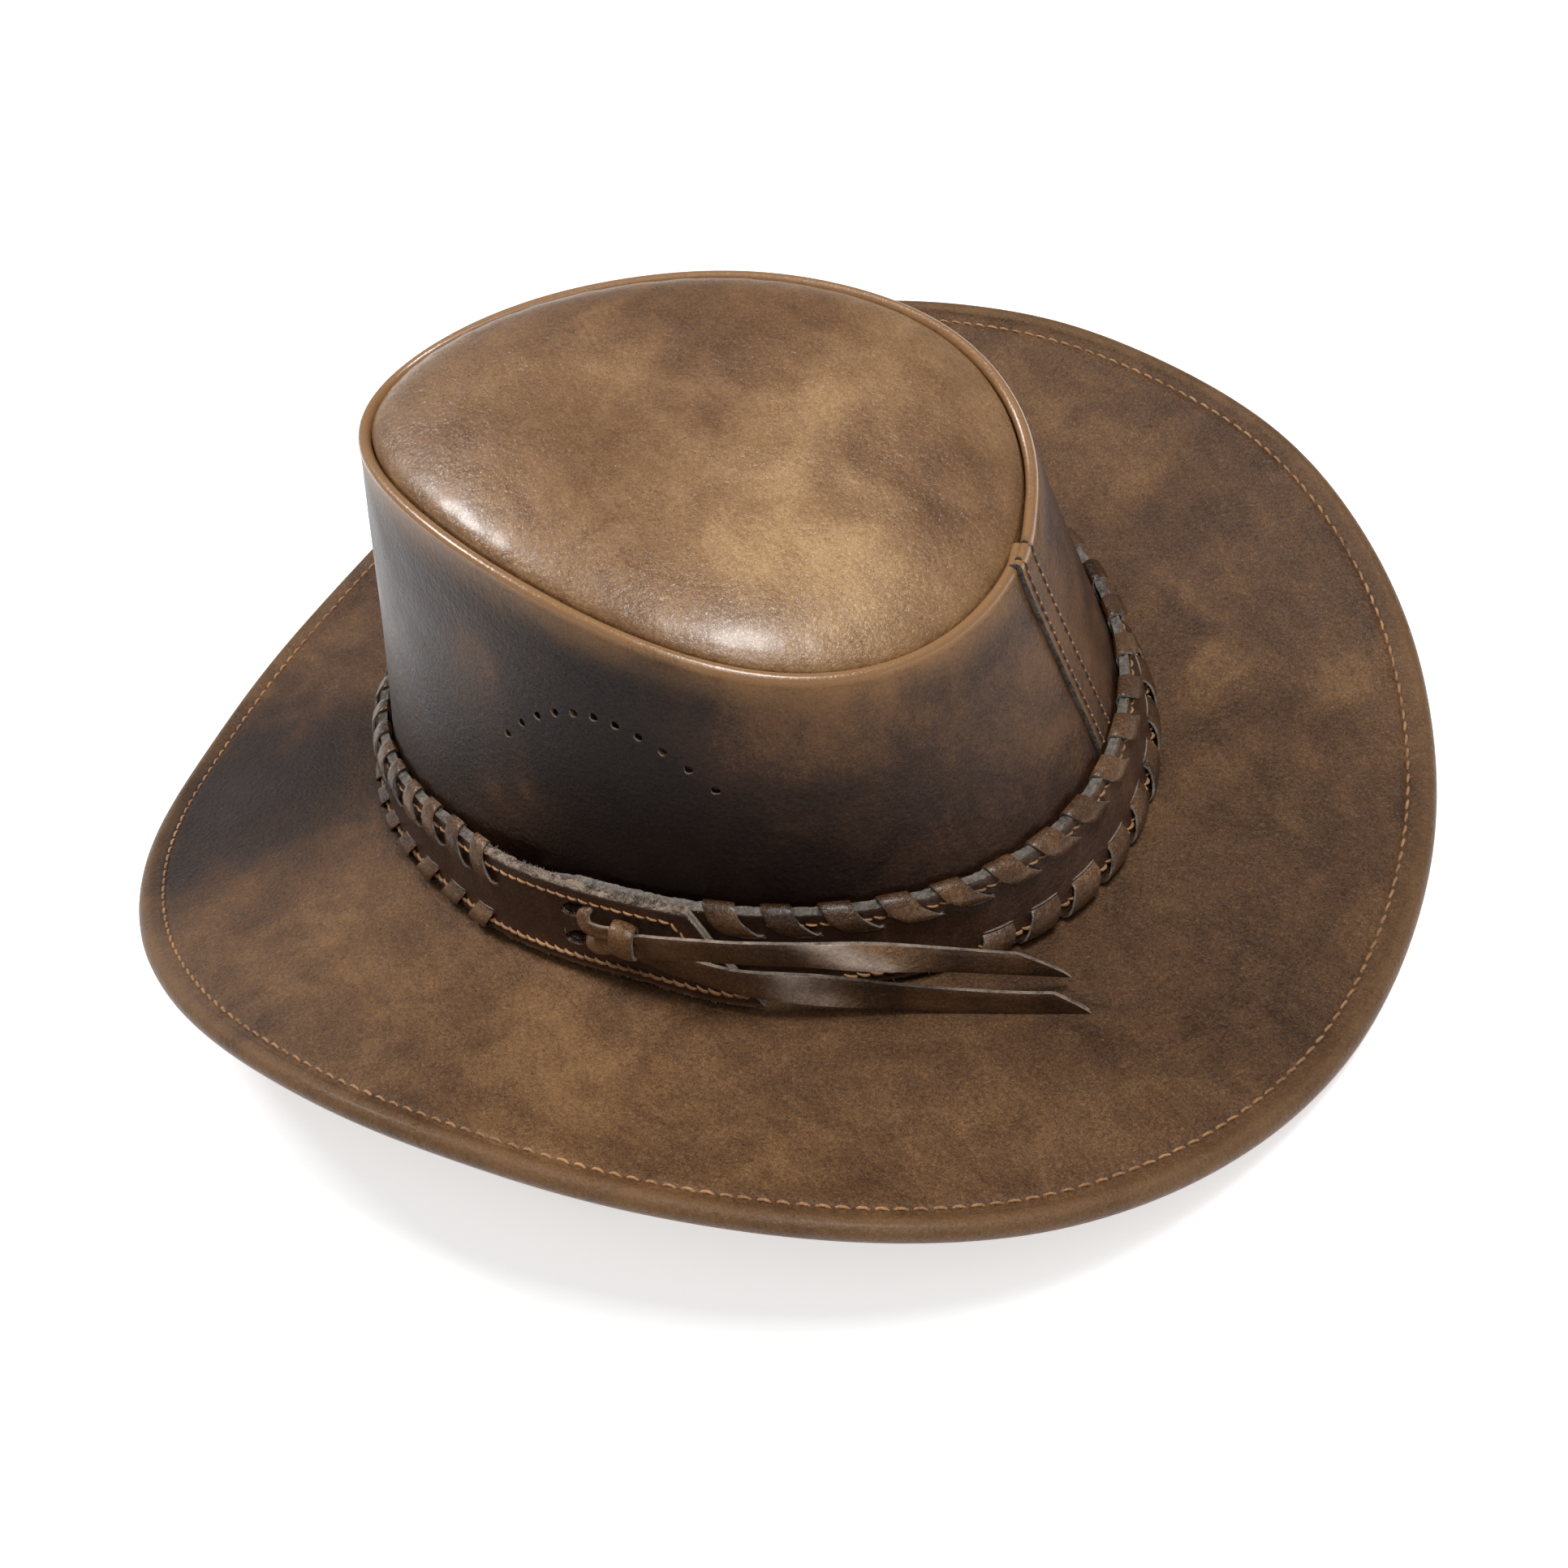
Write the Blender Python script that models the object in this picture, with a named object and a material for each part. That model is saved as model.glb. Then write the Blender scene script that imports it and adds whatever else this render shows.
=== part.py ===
"""Leather cowboy hat with a wired brim and a laced, tied hat band.

Units are metres and +Z is up. The hat rests on its brim: the origin is on the table, under the
middle of the brim. The front of the hat points along -Y, the back seam is at +Y and the wearer's
left side is +X. Every ring of the hat is drawn from one angle, "turn": 0 is the back, 90 degrees
is the wearer's left, 180 the front and 270 the wearer's right.
"""
import math

import bmesh
import bpy
from mathutils import Vector

# ---- Crown foot: the outer face of the crown wall where it meets the brim -------------------
FOOT_HALF_LENGTH = 0.1092
FOOT_HALF_WIDTH = 0.0887
FOOT_SHIFT = -0.0014          # the oval sits this far ahead of the brim's middle
FOOT_TAPER = 0.040            # the oval is wider at the back by this share
FOOT_SADDLE = -0.0089         # the foot line dips at front and back and rises at the sides

# ---- Groove between the crown's rolled lip and its top panel --------------------------------
GROOVE_HALF_LENGTH = 0.0803
GROOVE_HALF_WIDTH = 0.0608
GROOVE_SHIFT = 0.0023
GROOVE_TAPER = 0.293
GROOVE_TAPER_2 = 0.041
GROOVE_HEIGHT = 0.0954
GROOVE_SLOPE = -0.0142        # the crown falls towards the back
GROOVE_SADDLE = -0.0066
LIP_REACH = 0.0032            # the lip's outer face stands this far outside the groove
LIP_DROP = 0.0015             # and its underside this far below it
LIP_RISE = 0.0013
LIP_FACE = (0.0029, 0.0002)   # the lip's section, out and up from the groove: its outer face,
LIP_CREST = (0.0017, LIP_RISE)
LIP_SHOULDER = (0.0004, 0.0006)
LIP_ROOT = (0.0, -0.0008)     # and its root beside the top panel

# ---- Hem line: the middle of the wired hem round the brim's edge ----------------------------
HEM_HALF_LENGTH = 0.1769
HEM_HALF_WIDTH = 0.1662
HEM_TAPER = 0.020
HEM_TAPER_2 = 0.081
HEM_HEIGHT = 0.0065
HEM_CURL = -0.0233            # both sides curl up, front and back dip
HEM_RIPPLE = -0.0012
BRIM_BEND = 1.5               # how late along its width the brim turns up

# ---- Leather and thread ---------------------------------------------------------------------
GAP = 0.0003                  # between pieces that touch
CROWN_LEATHER = 0.0018
PANEL_LOW = 0.0008            # the crown wall ends this far above its foot line
BRIM_LEATHER = 0.0014
SWEAT_LEATHER = 0.0012
BAND_LEATHER = 0.0010
LACE_THICKNESS = 0.0008
THREAD_RADIUS = 0.0003
PILLOW = 0.0070               # the top panel bulges this far above its seam
PILLOW_ORDER = 4
PILLOW_ROUND = 0.6
SEAM_DEPTH = 0.009            # turned-down allowance at the crown's top seam
FLANGE_HEIGHT = 0.010         # brim leather turned up inside the crown
BASE_SEAM_HEIGHT = 0.0095      # stitches through crown wall and brim leather
SWEAT_SEAM_HEIGHT = 0.0050
SWEAT_LOW = 0.0015
SWEAT_HIGH = 0.033
SWEAT_ENDS = (0.4, 359.6)     # the sweatband's two ends meet at the back
SWEAT_THREAD_ENDS = (1.6, 358.4)

# ---- Hem ------------------------------------------------------------------------------------
HEM_RADIUS = 0.00285
HEM_BORE = 0.00155
HEM_DROP = 0.0022             # hem centre below the brim's top face
HEM_FOLD = 0.0115             # the leather turned under the edge reaches this far in
STITCH_INSET = 0.0072         # edge stitching, measured in from the outermost line
WIRE_RADIUS = 0.00065
FERRULE_BORE = 0.00090
FERRULE_RADIUS = 0.00118
FERRULE_HALF_TURN = 1.6       # degrees
FERRULE_SIDES = 8
WIRE_SIDES = 5
WIRE_END_TURN = 0.16

# ---- Back seam: a skived lap, the over-layer comes from the wearer's right ------------------
SEAM_TURN = 1.5               # the raw edge of the over-layer, degrees
SEAM_LAP = 4.5                # length of the hidden lap, degrees
SEAM_OPENING = 0.6            # gap between the two skived faces, degrees
SEAM_STEP = 0.0008            # the over-layer stands proud by this much
SEAM_ROWS = (-0.2, -3.9)      # the two rows of stitching, degrees
SEAM_ROW_LOW = 0.030
SEAM_ROW_TOP_GAP = 0.004
SEAM_ROW_STEPS = 8
SEAM_ROW_SIDES = 5

# ---- Vent holes: an arch of punched holes on each side --------------------------------------
VENT_COUNT = 11
VENT_MIDDLE_Y = 0.0111
VENT_HALF_SPAN = 0.0275
VENT_TOP = 0.069
VENT_RISE = 0.0126
VENT_RADIUS = 0.0009
VENT_REACH = 0.005
VENT_SIDES = 6

# ---- Hat band: one two-ply strap, from its cut outer end round to its hidden inner end -------
BAND_LOW = 0.0026
BAND_HIGH = 0.0250
BAND_TIP_TURN = 66.0          # lower corner of the outer end
BAND_SLANT = 6.0              # the upper corner is this much further round
BAND_LAP_TURN = 98.0          # the two layers part here
BAND_EVEN_TURN = 116.0        # and the strap lies on the crown again here
BAND_END_TURN = 360.0 + 97.5
BAND_FLARE = 0.0025           # the outer end's lower edge stands off the crown
BAND_FLARE_TURN = 84.0
BAND_END_RISE = 0.0012
UPPER_LACE_TURNS = (105.0, 360.0 + 62.0)
LOWER_LACE_TURNS = (105.0, 360.0 + 34.0)
LACE_REACH = 0.0062           # the lace grips this far in from the strap's edge
THREAD_INSET = 0.0030
UPPER_THREAD_TURNS = (75.0, 360.0 + 60.0)
LOWER_THREAD_TURNS = (72.2, 360.0 + 60.0)

# ---- Tie: a lace through two slots, gathered in a wrap, with two hanging tails ---------------
SLOT_MIDDLE_Y = 0.0010
SLOT_LENGTH = 0.0080
SLOT_OPENING = 0.0024
SLOT_HEIGHTS = (0.0140, 0.0215)
LOOP_RADIUS = 0.00048
KNOT_Y = (0.0128, 0.0192)
KNOT_HEIGHTS = (0.0135, 0.0245)
KNOT_DEPTH = 0.0032
KNOT_PUFF = ((0.0, 0.55), (0.2, 0.95), (0.5, 1.0), (0.8, 0.95), (1.0, 0.55))
KNOT_ROUND = 0.0020           # its rounded upper and lower edges
KNOT_TUCK = 0.0012            # its ends are lower than its middle by this at most
KNOT_LIFT = 0.0006            # it stands this far off the strap
TAIL_WIDTH = 0.0070
TAIL_THICKNESS = 0.0012
TAIL_CUT = 0.0110             # length of the diagonal cut at a tail's tip
TAIL_STEPS = 12
TAIL_LEAN = -0.25             # the tails' flat faces lean with the crown wall
UPPER_TAIL = ((0.0928, 0.0211, 0.0471), (0.0922, 0.0314, 0.0496), (0.0903, 0.0444, 0.0506),
              (0.0820, 0.0654, 0.0464), (0.0690, 0.0894, 0.0364), (0.0550, 0.1110, 0.0240))
LOWER_TAIL = ((0.0919, 0.0211, 0.0427), (0.0915, 0.0314, 0.0421), (0.0904, 0.0444, 0.0399),
              (0.0822, 0.0654, 0.0334), (0.0710, 0.0914, 0.0249), (0.0605, 0.1175, 0.0207))

UPPER_HINGE = (0.0928, 0.0211, 0.0471)
LOWER_HINGE = (0.0935, 0.0211, 0.0435)

STEP = 7.5                    # degrees between the columns of a ring
LEAST_STEP = 0.3              # an open strip has no column closer than this to its ends
SHARP_ANGLE = 35              # degrees

# The hem's underside at front and back is what the hat rests on.
TABLE_DROP = HEM_RADIUS - (HEM_HEIGHT + HEM_CURL + HEM_RIPPLE)


def mix(start, end, share):
    return start + (end - start) * share


# ---- Shape of the hat -----------------------------------------------------------------------
def foot(turn):
    a = math.radians(turn)
    x = FOOT_HALF_WIDTH * math.sin(a) * (1 + FOOT_TAPER * math.cos(a))
    y = FOOT_SHIFT + FOOT_HALF_LENGTH * math.cos(a)
    z = TABLE_DROP + FOOT_SADDLE * math.cos(2 * a)
    return Vector((x, y, z))


def groove(turn):
    a = math.radians(turn)
    x = GROOVE_HALF_WIDTH * math.sin(a)
    x *= 1 + GROOVE_TAPER * math.cos(a) + GROOVE_TAPER_2 * math.cos(2 * a)
    y = GROOVE_SHIFT + GROOVE_HALF_LENGTH * math.cos(a)
    z = TABLE_DROP + GROOVE_HEIGHT + GROOVE_SLOPE * math.cos(a) + GROOVE_SADDLE * math.cos(2 * a)
    return Vector((x, y, z))


def hem_line(turn):
    a = math.radians(turn)
    x = HEM_HALF_WIDTH * math.sin(a)
    x *= 1 + HEM_TAPER * math.cos(a) + HEM_TAPER_2 * math.cos(2 * a)
    y = HEM_HALF_LENGTH * math.cos(a)
    z = TABLE_DROP + HEM_HEIGHT + HEM_CURL * math.cos(2 * a) + HEM_RIPPLE * math.cos(4 * a)
    return Vector((x, y, z))


def outward(curve, turn):
    """Level unit vector square to a ring, pointing away from the hat's middle."""
    along = curve(turn + 0.05) - curve(turn - 0.05)
    return Vector((-along.y, along.x, 0.0)).normalized()


def lip_foot(turn):
    """Top of the crown wall's outer face, under the rolled lip."""
    return groove(turn) + outward(groove, turn) * LIP_REACH - Vector((0, 0, LIP_DROP))


def wall_height(turn):
    return lip_foot(turn).z - foot(turn).z


def wall_point(turn, height, out=0.0):
    """Point on the crown wall, a height above its foot, moved out along the foot's normal."""
    share = height / wall_height(turn)
    return mix(foot(turn), lip_foot(turn), share) + outward(foot, turn) * out


def brim_out(turn):
    """Level unit vector from the crown's foot to the hem."""
    span = hem_line(turn) - foot(turn)
    return Vector((span.x, span.y, 0.0)).normalized()


def brim_width(turn):
    span = hem_line(turn) - foot(turn)
    return Vector((span.x, span.y, 0.0)).length + HEM_RADIUS


def brim_rise(turn):
    return hem_line(turn).z + HEM_DROP - foot(turn).z


def hem_slope(turn):
    """Angle of the brim's face where it meets the hem, in radians."""
    return math.atan(BRIM_BEND * brim_rise(turn) / (brim_width(turn) - HEM_RADIUS))


def brim_point(turn, inset, up=0.0):
    """Point on the brim's top face, an inset in from the outermost line, moved straight up."""
    inner = foot(turn)
    width = brim_width(turn)
    share = (width - inset) / (width - HEM_RADIUS)
    point = inner + brim_out(turn) * (width - inset)
    point.z = inner.z + brim_rise(turn) * share ** BRIM_BEND + up
    return point


def top_point(turn, share, up=0.0):
    """Point on the crown's pillowed top panel, a share of the way from its middle to its seam."""
    a = math.radians(turn)
    rim = groove(turn) - outward(groove, turn) * GAP * 1.5
    x = rim.x * share
    y = mix(GROOVE_SHIFT, rim.y, share)
    z = TABLE_DROP + GROOVE_HEIGHT + GROOVE_SLOPE * share * math.cos(a)
    z += GROOVE_SADDLE * share ** 2 * math.cos(2 * a)
    z += PILLOW * (1.0 - share ** PILLOW_ORDER) ** PILLOW_ROUND
    return Vector((x, y, z + up))


# ---- Mesh helpers ---------------------------------------------------------------------------
def make_material(name, colour, roughness, metallic=0.0):
    material = bpy.data.materials.new(name)
    material.use_nodes = True
    shader = material.node_tree.nodes["Principled BSDF"]
    shader.inputs["Base Color"].default_value = (*colour, 1.0)
    shader.inputs["Roughness"].default_value = roughness
    shader.inputs["Metallic"].default_value = metallic
    return material


def make_object(name, mesh_builder, colour, roughness, metallic=0.0):
    bmesh.ops.recalc_face_normals(mesh_builder, faces=mesh_builder.faces[:])
    mesh = bpy.data.meshes.new(name)
    mesh_builder.to_mesh(mesh)
    mesh_builder.free()
    mesh.shade_smooth()
    mesh.set_sharp_from_angle(angle=math.radians(SHARP_ANGLE))
    node = bpy.data.objects.new(name, mesh)
    node.data.materials.append(make_material(name + "_finish", colour, roughness, metallic))
    bpy.context.collection.objects.link(node)
    return node


def reach(vert):
    return math.hypot(vert.co.x, vert.co.y)


def add_quad(builder, near_a, near_b, far_b, far_a):
    """Two triangles, split the same way on every layer so that stacked layers stay parallel."""
    if reach(near_a) < reach(near_b):
        builder.faces.new((near_a, near_b, far_b))
        builder.faces.new((near_a, far_b, far_a))
    else:
        builder.faces.new((near_a, near_b, far_a))
        builder.faces.new((near_b, far_b, far_a))


def skin(columns, closed):
    """Join equal columns of points into a tube: closed in a ring, or open with two end caps."""
    builder = bmesh.new()
    rows = [[builder.verts.new(point) for point in column] for column in columns]
    size = len(rows[0])
    pairs = list(zip(rows, rows[1:]))
    if closed:
        pairs.append((rows[-1], rows[0]))
    for near, far in pairs:
        for k in range(size):
            nxt = (k + 1) % size
            add_quad(builder, near[k], near[nxt], far[nxt], far[k])
    if not closed:
        builder.faces.new(rows[0])
        builder.faces.new(rows[-1])
    return builder


def ring_turns():
    """Columns of a full ring, with extra ones where the wire's ferrule begins and ends."""
    turns = [k * STEP for k in range(int(360 / STEP))]
    turns += [FERRULE_HALF_TURN, 360.0 - FERRULE_HALF_TURN]
    return sorted(turns)


def span_turns(start, end):
    """Columns of an open strip: its two ends and every ring column between them."""
    turns = [start]
    k = math.floor(start / STEP) + 1
    while k * STEP < end - LEAST_STEP:
        if k * STEP > start + LEAST_STEP:
            turns.append(k * STEP)
        k += 1
    return turns + [end]


def thread_section(centre, out, radius=THREAD_RADIUS):
    """Four points of a thread's section, in the upright plane that holds the out direction."""
    up = Vector((0, 0, radius))
    side = out * radius
    return [centre + side, centre + up, centre - side, centre - up]


def make_ring_thread(name, turns, centre_of, out_of, closed, colour):
    columns = [thread_section(centre_of(turn), out_of(turn)) for turn in turns]
    return make_object(name, skin(columns, closed), colour, 0.7)


def make_tube(name, points, radius, sides, colour, roughness):
    """Round tube through points, its section carried along without twist."""
    points = [Vector(point) for point in points]
    tangents = []
    for k in range(len(points)):
        before = points[max(k - 1, 0)]
        after = points[min(k + 1, len(points) - 1)]
        tangents.append((after - before).normalized())
    side = tangents[0].orthogonal().normalized()
    columns = []
    for point, tangent in zip(points, tangents):
        side = (side - tangent * side.dot(tangent)).normalized()
        other = tangent.cross(side)
        column = []
        for k in range(sides):
            a = 2 * math.pi * k / sides
            column.append(point + (side * math.cos(a) + other * math.sin(a)) * radius)
        columns.append(column)
    return make_object(name, skin(columns, False), colour, roughness)


# ---- Crown ----------------------------------------------------------------------------------
LEATHER = (0.20, 0.11, 0.05)
DARK_LEATHER = (0.06, 0.035, 0.022)
THREAD_TAN = (0.55, 0.30, 0.12)
THREAD_BROWN = (0.16, 0.08, 0.04)


# Heights of the wall's columns as shares of its height, and how far each takes the seam's step:
# the lap is skived flat below the top of the hat band.
WALL_LEVELS = ((0.0, 0.0), (0.33, 0.0), (0.42, 1.0), (0.80, 1.0))


def allowance_point(turn, depth):
    """Bottom of the turned-down seam allowance, a depth inside the crown wall's outer face."""
    height = wall_height(turn) + LIP_DROP - SEAM_DEPTH
    return wall_point(turn, height, -depth)


def lip_point(turn, place):
    out, up = place
    return groove(turn) + outward(groove, turn) * out + Vector((0, 0, up))


def side_panel_column(turn, lap, step):
    """Section of the crown wall, lip and allowance; lap skews it from the outer to inner face."""
    points = []
    for share, lifted in WALL_LEVELS:
        height = mix(PANEL_LOW, wall_height(turn), share)
        points.append(wall_point(turn, height, step * lifted))
    out = outward(groove, turn)
    points.append(lip_foot(turn) + out * step)
    points.append(lip_point(turn, LIP_FACE) + out * step)
    hidden = turn + lap
    points.append(lip_point(turn + lap * 0.5, LIP_CREST))
    points.append(lip_point(hidden, LIP_SHOULDER))
    points.append(lip_point(hidden, LIP_ROOT))
    points.append(allowance_point(hidden, 2 * CROWN_LEATHER))
    points.append(allowance_point(hidden, CROWN_LEATHER))
    for share, _ in reversed(WALL_LEVELS):
        height = mix(PANEL_LOW, wall_height(hidden), share)
        points.append(wall_point(hidden, height, -CROWN_LEATHER))
    return points


def make_vent_cutter():
    builder = bmesh.new()
    for side in (1.0, -1.0):
        for k in range(VENT_COUNT):
            share = 2.0 * k / (VENT_COUNT - 1) - 1.0
            y = VENT_MIDDLE_Y + VENT_HALF_SPAN * share
            turn = math.degrees(math.acos((y - FOOT_SHIFT) / FOOT_HALF_LENGTH))
            for _ in range(4):
                at = wall_point(turn, VENT_TOP - VENT_RISE * share ** 2)
                turn += math.degrees((at.y - y) / FOOT_HALF_LENGTH)
            centre = wall_point(turn, VENT_TOP - VENT_RISE * share ** 2, -CROWN_LEATHER / 2)
            add_prism(builder, Vector((side * centre.x, centre.y, centre.z)))
    cutter = make_object("vent_cutter", builder, DARK_LEATHER, 0.8)
    hide_guide(cutter)
    return cutter


def add_prism(builder, centre):
    ends = []
    for reach in (-VENT_REACH, VENT_REACH):
        ring = []
        for k in range(VENT_SIDES):
            a = 2 * math.pi * k / VENT_SIDES
            offset = Vector((reach, VENT_RADIUS * math.cos(a), VENT_RADIUS * math.sin(a)))
            ring.append(builder.verts.new(centre + offset))
        ends.append(ring)
    for k in range(VENT_SIDES):
        nxt = (k + 1) % VENT_SIDES
        builder.faces.new((ends[0][k], ends[0][nxt], ends[1][nxt], ends[1][k]))
    builder.faces.new(ends[0])
    builder.faces.new(ends[1])


def hide_guide(guide):
    guide.hide_render = True
    guide.display_type = "WIRE"


def cut(node, cutter):
    modifier = node.modifiers.new("cut", "BOOLEAN")
    modifier.operation = "DIFFERENCE"
    modifier.solver = "EXACT"
    modifier.object = cutter


def make_side_panel():
    start = SEAM_TURN + SEAM_OPENING
    columns = [side_panel_column(start, SEAM_LAP, 0.0)]
    columns.append(side_panel_column(start + SEAM_LAP, SEAM_LAP * 0.35, 0.0))
    turns = [k * STEP for k in range(2, int(360 / STEP))]
    columns += [side_panel_column(turn, 0.0, 0.0) for turn in turns]
    columns.append(side_panel_column(SEAM_TURN - SEAM_LAP + 360, SEAM_LAP * 0.5, SEAM_STEP / 2))
    columns.append(side_panel_column(SEAM_TURN + 360, SEAM_LAP, SEAM_STEP))
    panel = make_object("crown_side_panel", skin(columns, False), DARK_LEATHER, 0.45)
    cut(panel, make_vent_cutter())
    return panel


# Columns of the top panel, as shares of the way out to its seam.
TOP_SHARES = (0.30, 0.55, 0.75, 0.88, 0.96, 1.0)
UNDER_SHARES = (0.94, 0.85, 0.73, 0.53, 0.29)


def make_top_panel():
    under = -CROWN_LEATHER
    builder = bmesh.new()
    crest = builder.verts.new(top_point(0.0, 0.0))
    belly = builder.verts.new(top_point(0.0, 0.0, under))
    rows = []
    for turn in ring_turns():
        column = [top_point(turn, share) for share in TOP_SHARES]
        column.append(allowance_point(turn, 2 * CROWN_LEATHER + GAP))
        column.append(allowance_point(turn, 3 * CROWN_LEATHER + GAP))
        column.append(top_point(turn, 0.97, under * 1.6))
        column += [top_point(turn, share, under) for share in UNDER_SHARES]
        rows.append([builder.verts.new(point) for point in column])
    for near, far in zip(rows, rows[1:] + rows[:1]):
        builder.faces.new((crest, near[0], far[0]))
        builder.faces.new((belly, far[-1], near[-1]))
        for k in range(len(near) - 1):
            add_quad(builder, near[k], near[k + 1], far[k + 1], far[k])
    return make_object("crown_top_panel", builder, LEATHER, 0.42)


def make_crown_threads():
    def top_seam(turn):
        upper = top_point(turn, 0.97, -CROWN_LEATHER * 1.6)
        lower = allowance_point(turn, 3 * CROWN_LEATHER + GAP)
        return mix(upper, lower, 0.5) - outward(foot, turn) * 0.0007

    def base_seam(turn):
        return wall_point(turn, BASE_SEAM_HEIGHT, THREAD_RADIUS + GAP / 2)

    turns = ring_turns()
    make_ring_thread("crown_top_seam_thread", turns, top_seam, foot_out, True, THREAD_BROWN)
    turns = span_turns(2 * STEP, 360.0 - 2 * STEP)
    make_ring_thread("crown_base_seam_thread", turns, base_seam, foot_out, False, THREAD_BROWN)
    for name, turn in zip(("back_seam_thread_edge", "back_seam_thread_inner"), SEAM_ROWS):
        top = wall_height(turn) - SEAM_ROW_TOP_GAP
        points = []
        for k in range(SEAM_ROW_STEPS + 1):
            height = mix(SEAM_ROW_LOW, top, k / SEAM_ROW_STEPS)
            points.append(wall_point(turn, height, SEAM_STEP + THREAD_RADIUS + GAP))
        make_tube(name, points, THREAD_RADIUS, SEAM_ROW_SIDES, THREAD_BROWN, 0.7)


def foot_out(turn):
    return outward(foot, turn)


# ---- Brim -----------------------------------------------------------------------------------
BRIM_SHARES = (0.70, 0.42, 0.16)      # insets of the brim's inner columns, as shares of its width


def hem_point(turn, angle, radius):
    """Point round the hem's middle line, its angle counted from the brim's own slope."""
    a = math.radians(angle) + hem_slope(turn)
    level = brim_out(turn) * (radius * math.cos(a))
    return hem_line(turn) + level + Vector((0, 0, radius * math.sin(a)))


def flange_points(turn, depth, low):
    """Upper end and bend of brim leather turned up inside the crown."""
    return [wall_point(turn, FLANGE_HEIGHT, -depth), wall_point(turn, low, -depth)]


def upper_leather_column(turn):
    width = brim_width(turn)
    under = -BRIM_LEATHER
    depth = CROWN_LEATHER + GAP
    points = flange_points(turn, depth, 0.0)
    points += [brim_point(turn, width * share) for share in BRIM_SHARES]
    points.append(brim_point(turn, STITCH_INSET))
    points += [hem_point(turn, angle, HEM_RADIUS) for angle in (115, 60, 0, -55)]
    fold_low = -3 * BRIM_LEATHER - 2 * GAP
    points.append(hem_line(turn) - Vector((0, 0, HEM_RADIUS)))
    points.append(hem_point(turn, -115, HEM_RADIUS))
    points.append(brim_point(turn, HEM_FOLD, fold_low))
    points.append(brim_point(turn, HEM_FOLD, fold_low + BRIM_LEATHER))
    points += [hem_point(turn, angle, HEM_BORE) for angle in (-125, -60, 0, 60, 115)]
    points.append(brim_point(turn, STITCH_INSET, under))
    points += [brim_point(turn, width * share, under) for share in reversed(BRIM_SHARES)]
    points.append(wall_point(turn, under * 0.9, -depth - 0.4 * BRIM_LEATHER))
    points.append(wall_point(turn, 0.0, -depth - BRIM_LEATHER))
    points.append(wall_point(turn, FLANGE_HEIGHT, -depth - BRIM_LEATHER))
    return points


def lower_leather_column(turn):
    width = brim_width(turn)
    depth = CROWN_LEATHER + 2 * GAP + BRIM_LEATHER
    top = -BRIM_LEATHER - GAP
    under = top - BRIM_LEATHER
    points = flange_points(turn, depth, -0.0004)
    points.append(wall_point(turn, top * 0.95, -depth + 0.35 * BRIM_LEATHER))
    points += [brim_point(turn, width * share, top) for share in BRIM_SHARES]
    points.append(brim_point(turn, STITCH_INSET, top))
    points.append(brim_point(turn, STITCH_INSET, under))
    points += [brim_point(turn, width * share, under) for share in reversed(BRIM_SHARES)]
    points.append(wall_point(turn, under, -depth - 0.3 * BRIM_LEATHER))
    points.append(wall_point(turn, top * 0.6, -depth - BRIM_LEATHER))
    points.append(wall_point(turn, FLANGE_HEIGHT, -depth - BRIM_LEATHER))
    return points


def make_brim():
    turns = ring_turns()
    columns = [upper_leather_column(turn) for turn in turns]
    make_object("brim_upper_leather", skin(columns, True), LEATHER, 0.45)
    columns = [lower_leather_column(turn) for turn in turns]
    make_object("brim_lower_leather", skin(columns, True), LEATHER, 0.6)


def ring_section(turn, radius, sides):
    return [hem_point(turn, 360 * k / sides, radius) for k in range(sides)]


def make_brim_wire():
    turns = [WIRE_END_TURN] + ring_turns()[1:]
    turns.append(360.0 - WIRE_END_TURN)
    columns = [ring_section(turn, WIRE_RADIUS, WIRE_SIDES) for turn in turns]
    make_object("brim_wire", skin(columns, False), (0.6, 0.6, 0.62), 0.3, 1.0)


def make_ferrule():
    """Crimp sleeve that joins the two ends of the wire at the back of the brim."""
    turns = (-FERRULE_HALF_TURN, -WIRE_END_TURN, WIRE_END_TURN, FERRULE_HALF_TURN)
    outer = [ring_section(turn, FERRULE_RADIUS, FERRULE_SIDES) for turn in turns]
    inner = [ring_section(turn, FERRULE_BORE, FERRULE_SIDES) for turn in turns]
    columns = outer + inner[::-1]
    make_object("wire_ferrule", skin(columns, True), (0.7, 0.55, 0.3), 0.35, 1.0)


def make_brim_thread():
    def centre(turn):
        return brim_point(turn, STITCH_INSET, THREAD_RADIUS + GAP)

    make_ring_thread("brim_edge_thread", ring_turns(), centre, foot_out, True, THREAD_TAN)


# ---- Sweatband ------------------------------------------------------------------------------
SWEAT_DEPTH = CROWN_LEATHER + 2 * BRIM_LEATHER + 3 * GAP


def sweatband_column(turn):
    near = SWEAT_DEPTH
    far = SWEAT_DEPTH + SWEAT_LEATHER
    corners = ((SWEAT_LOW, near), (SWEAT_HIGH, near), (SWEAT_HIGH, far), (SWEAT_LOW, far))
    return [wall_point(turn, height, -depth) for height, depth in corners]


def make_sweatband():
    columns = [sweatband_column(turn) for turn in span_turns(*SWEAT_ENDS)]
    make_object("sweatband", skin(columns, False), (0.24, 0.14, 0.07), 0.6)

    def centre(turn):
        return wall_point(turn, SWEAT_SEAM_HEIGHT, -SWEAT_DEPTH - SWEAT_LEATHER - THREAD_RADIUS - GAP / 2)

    turns = span_turns(*SWEAT_THREAD_ENDS)
    make_ring_thread("sweatband_thread", turns, centre, foot_out, False, THREAD_TAN)


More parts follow.
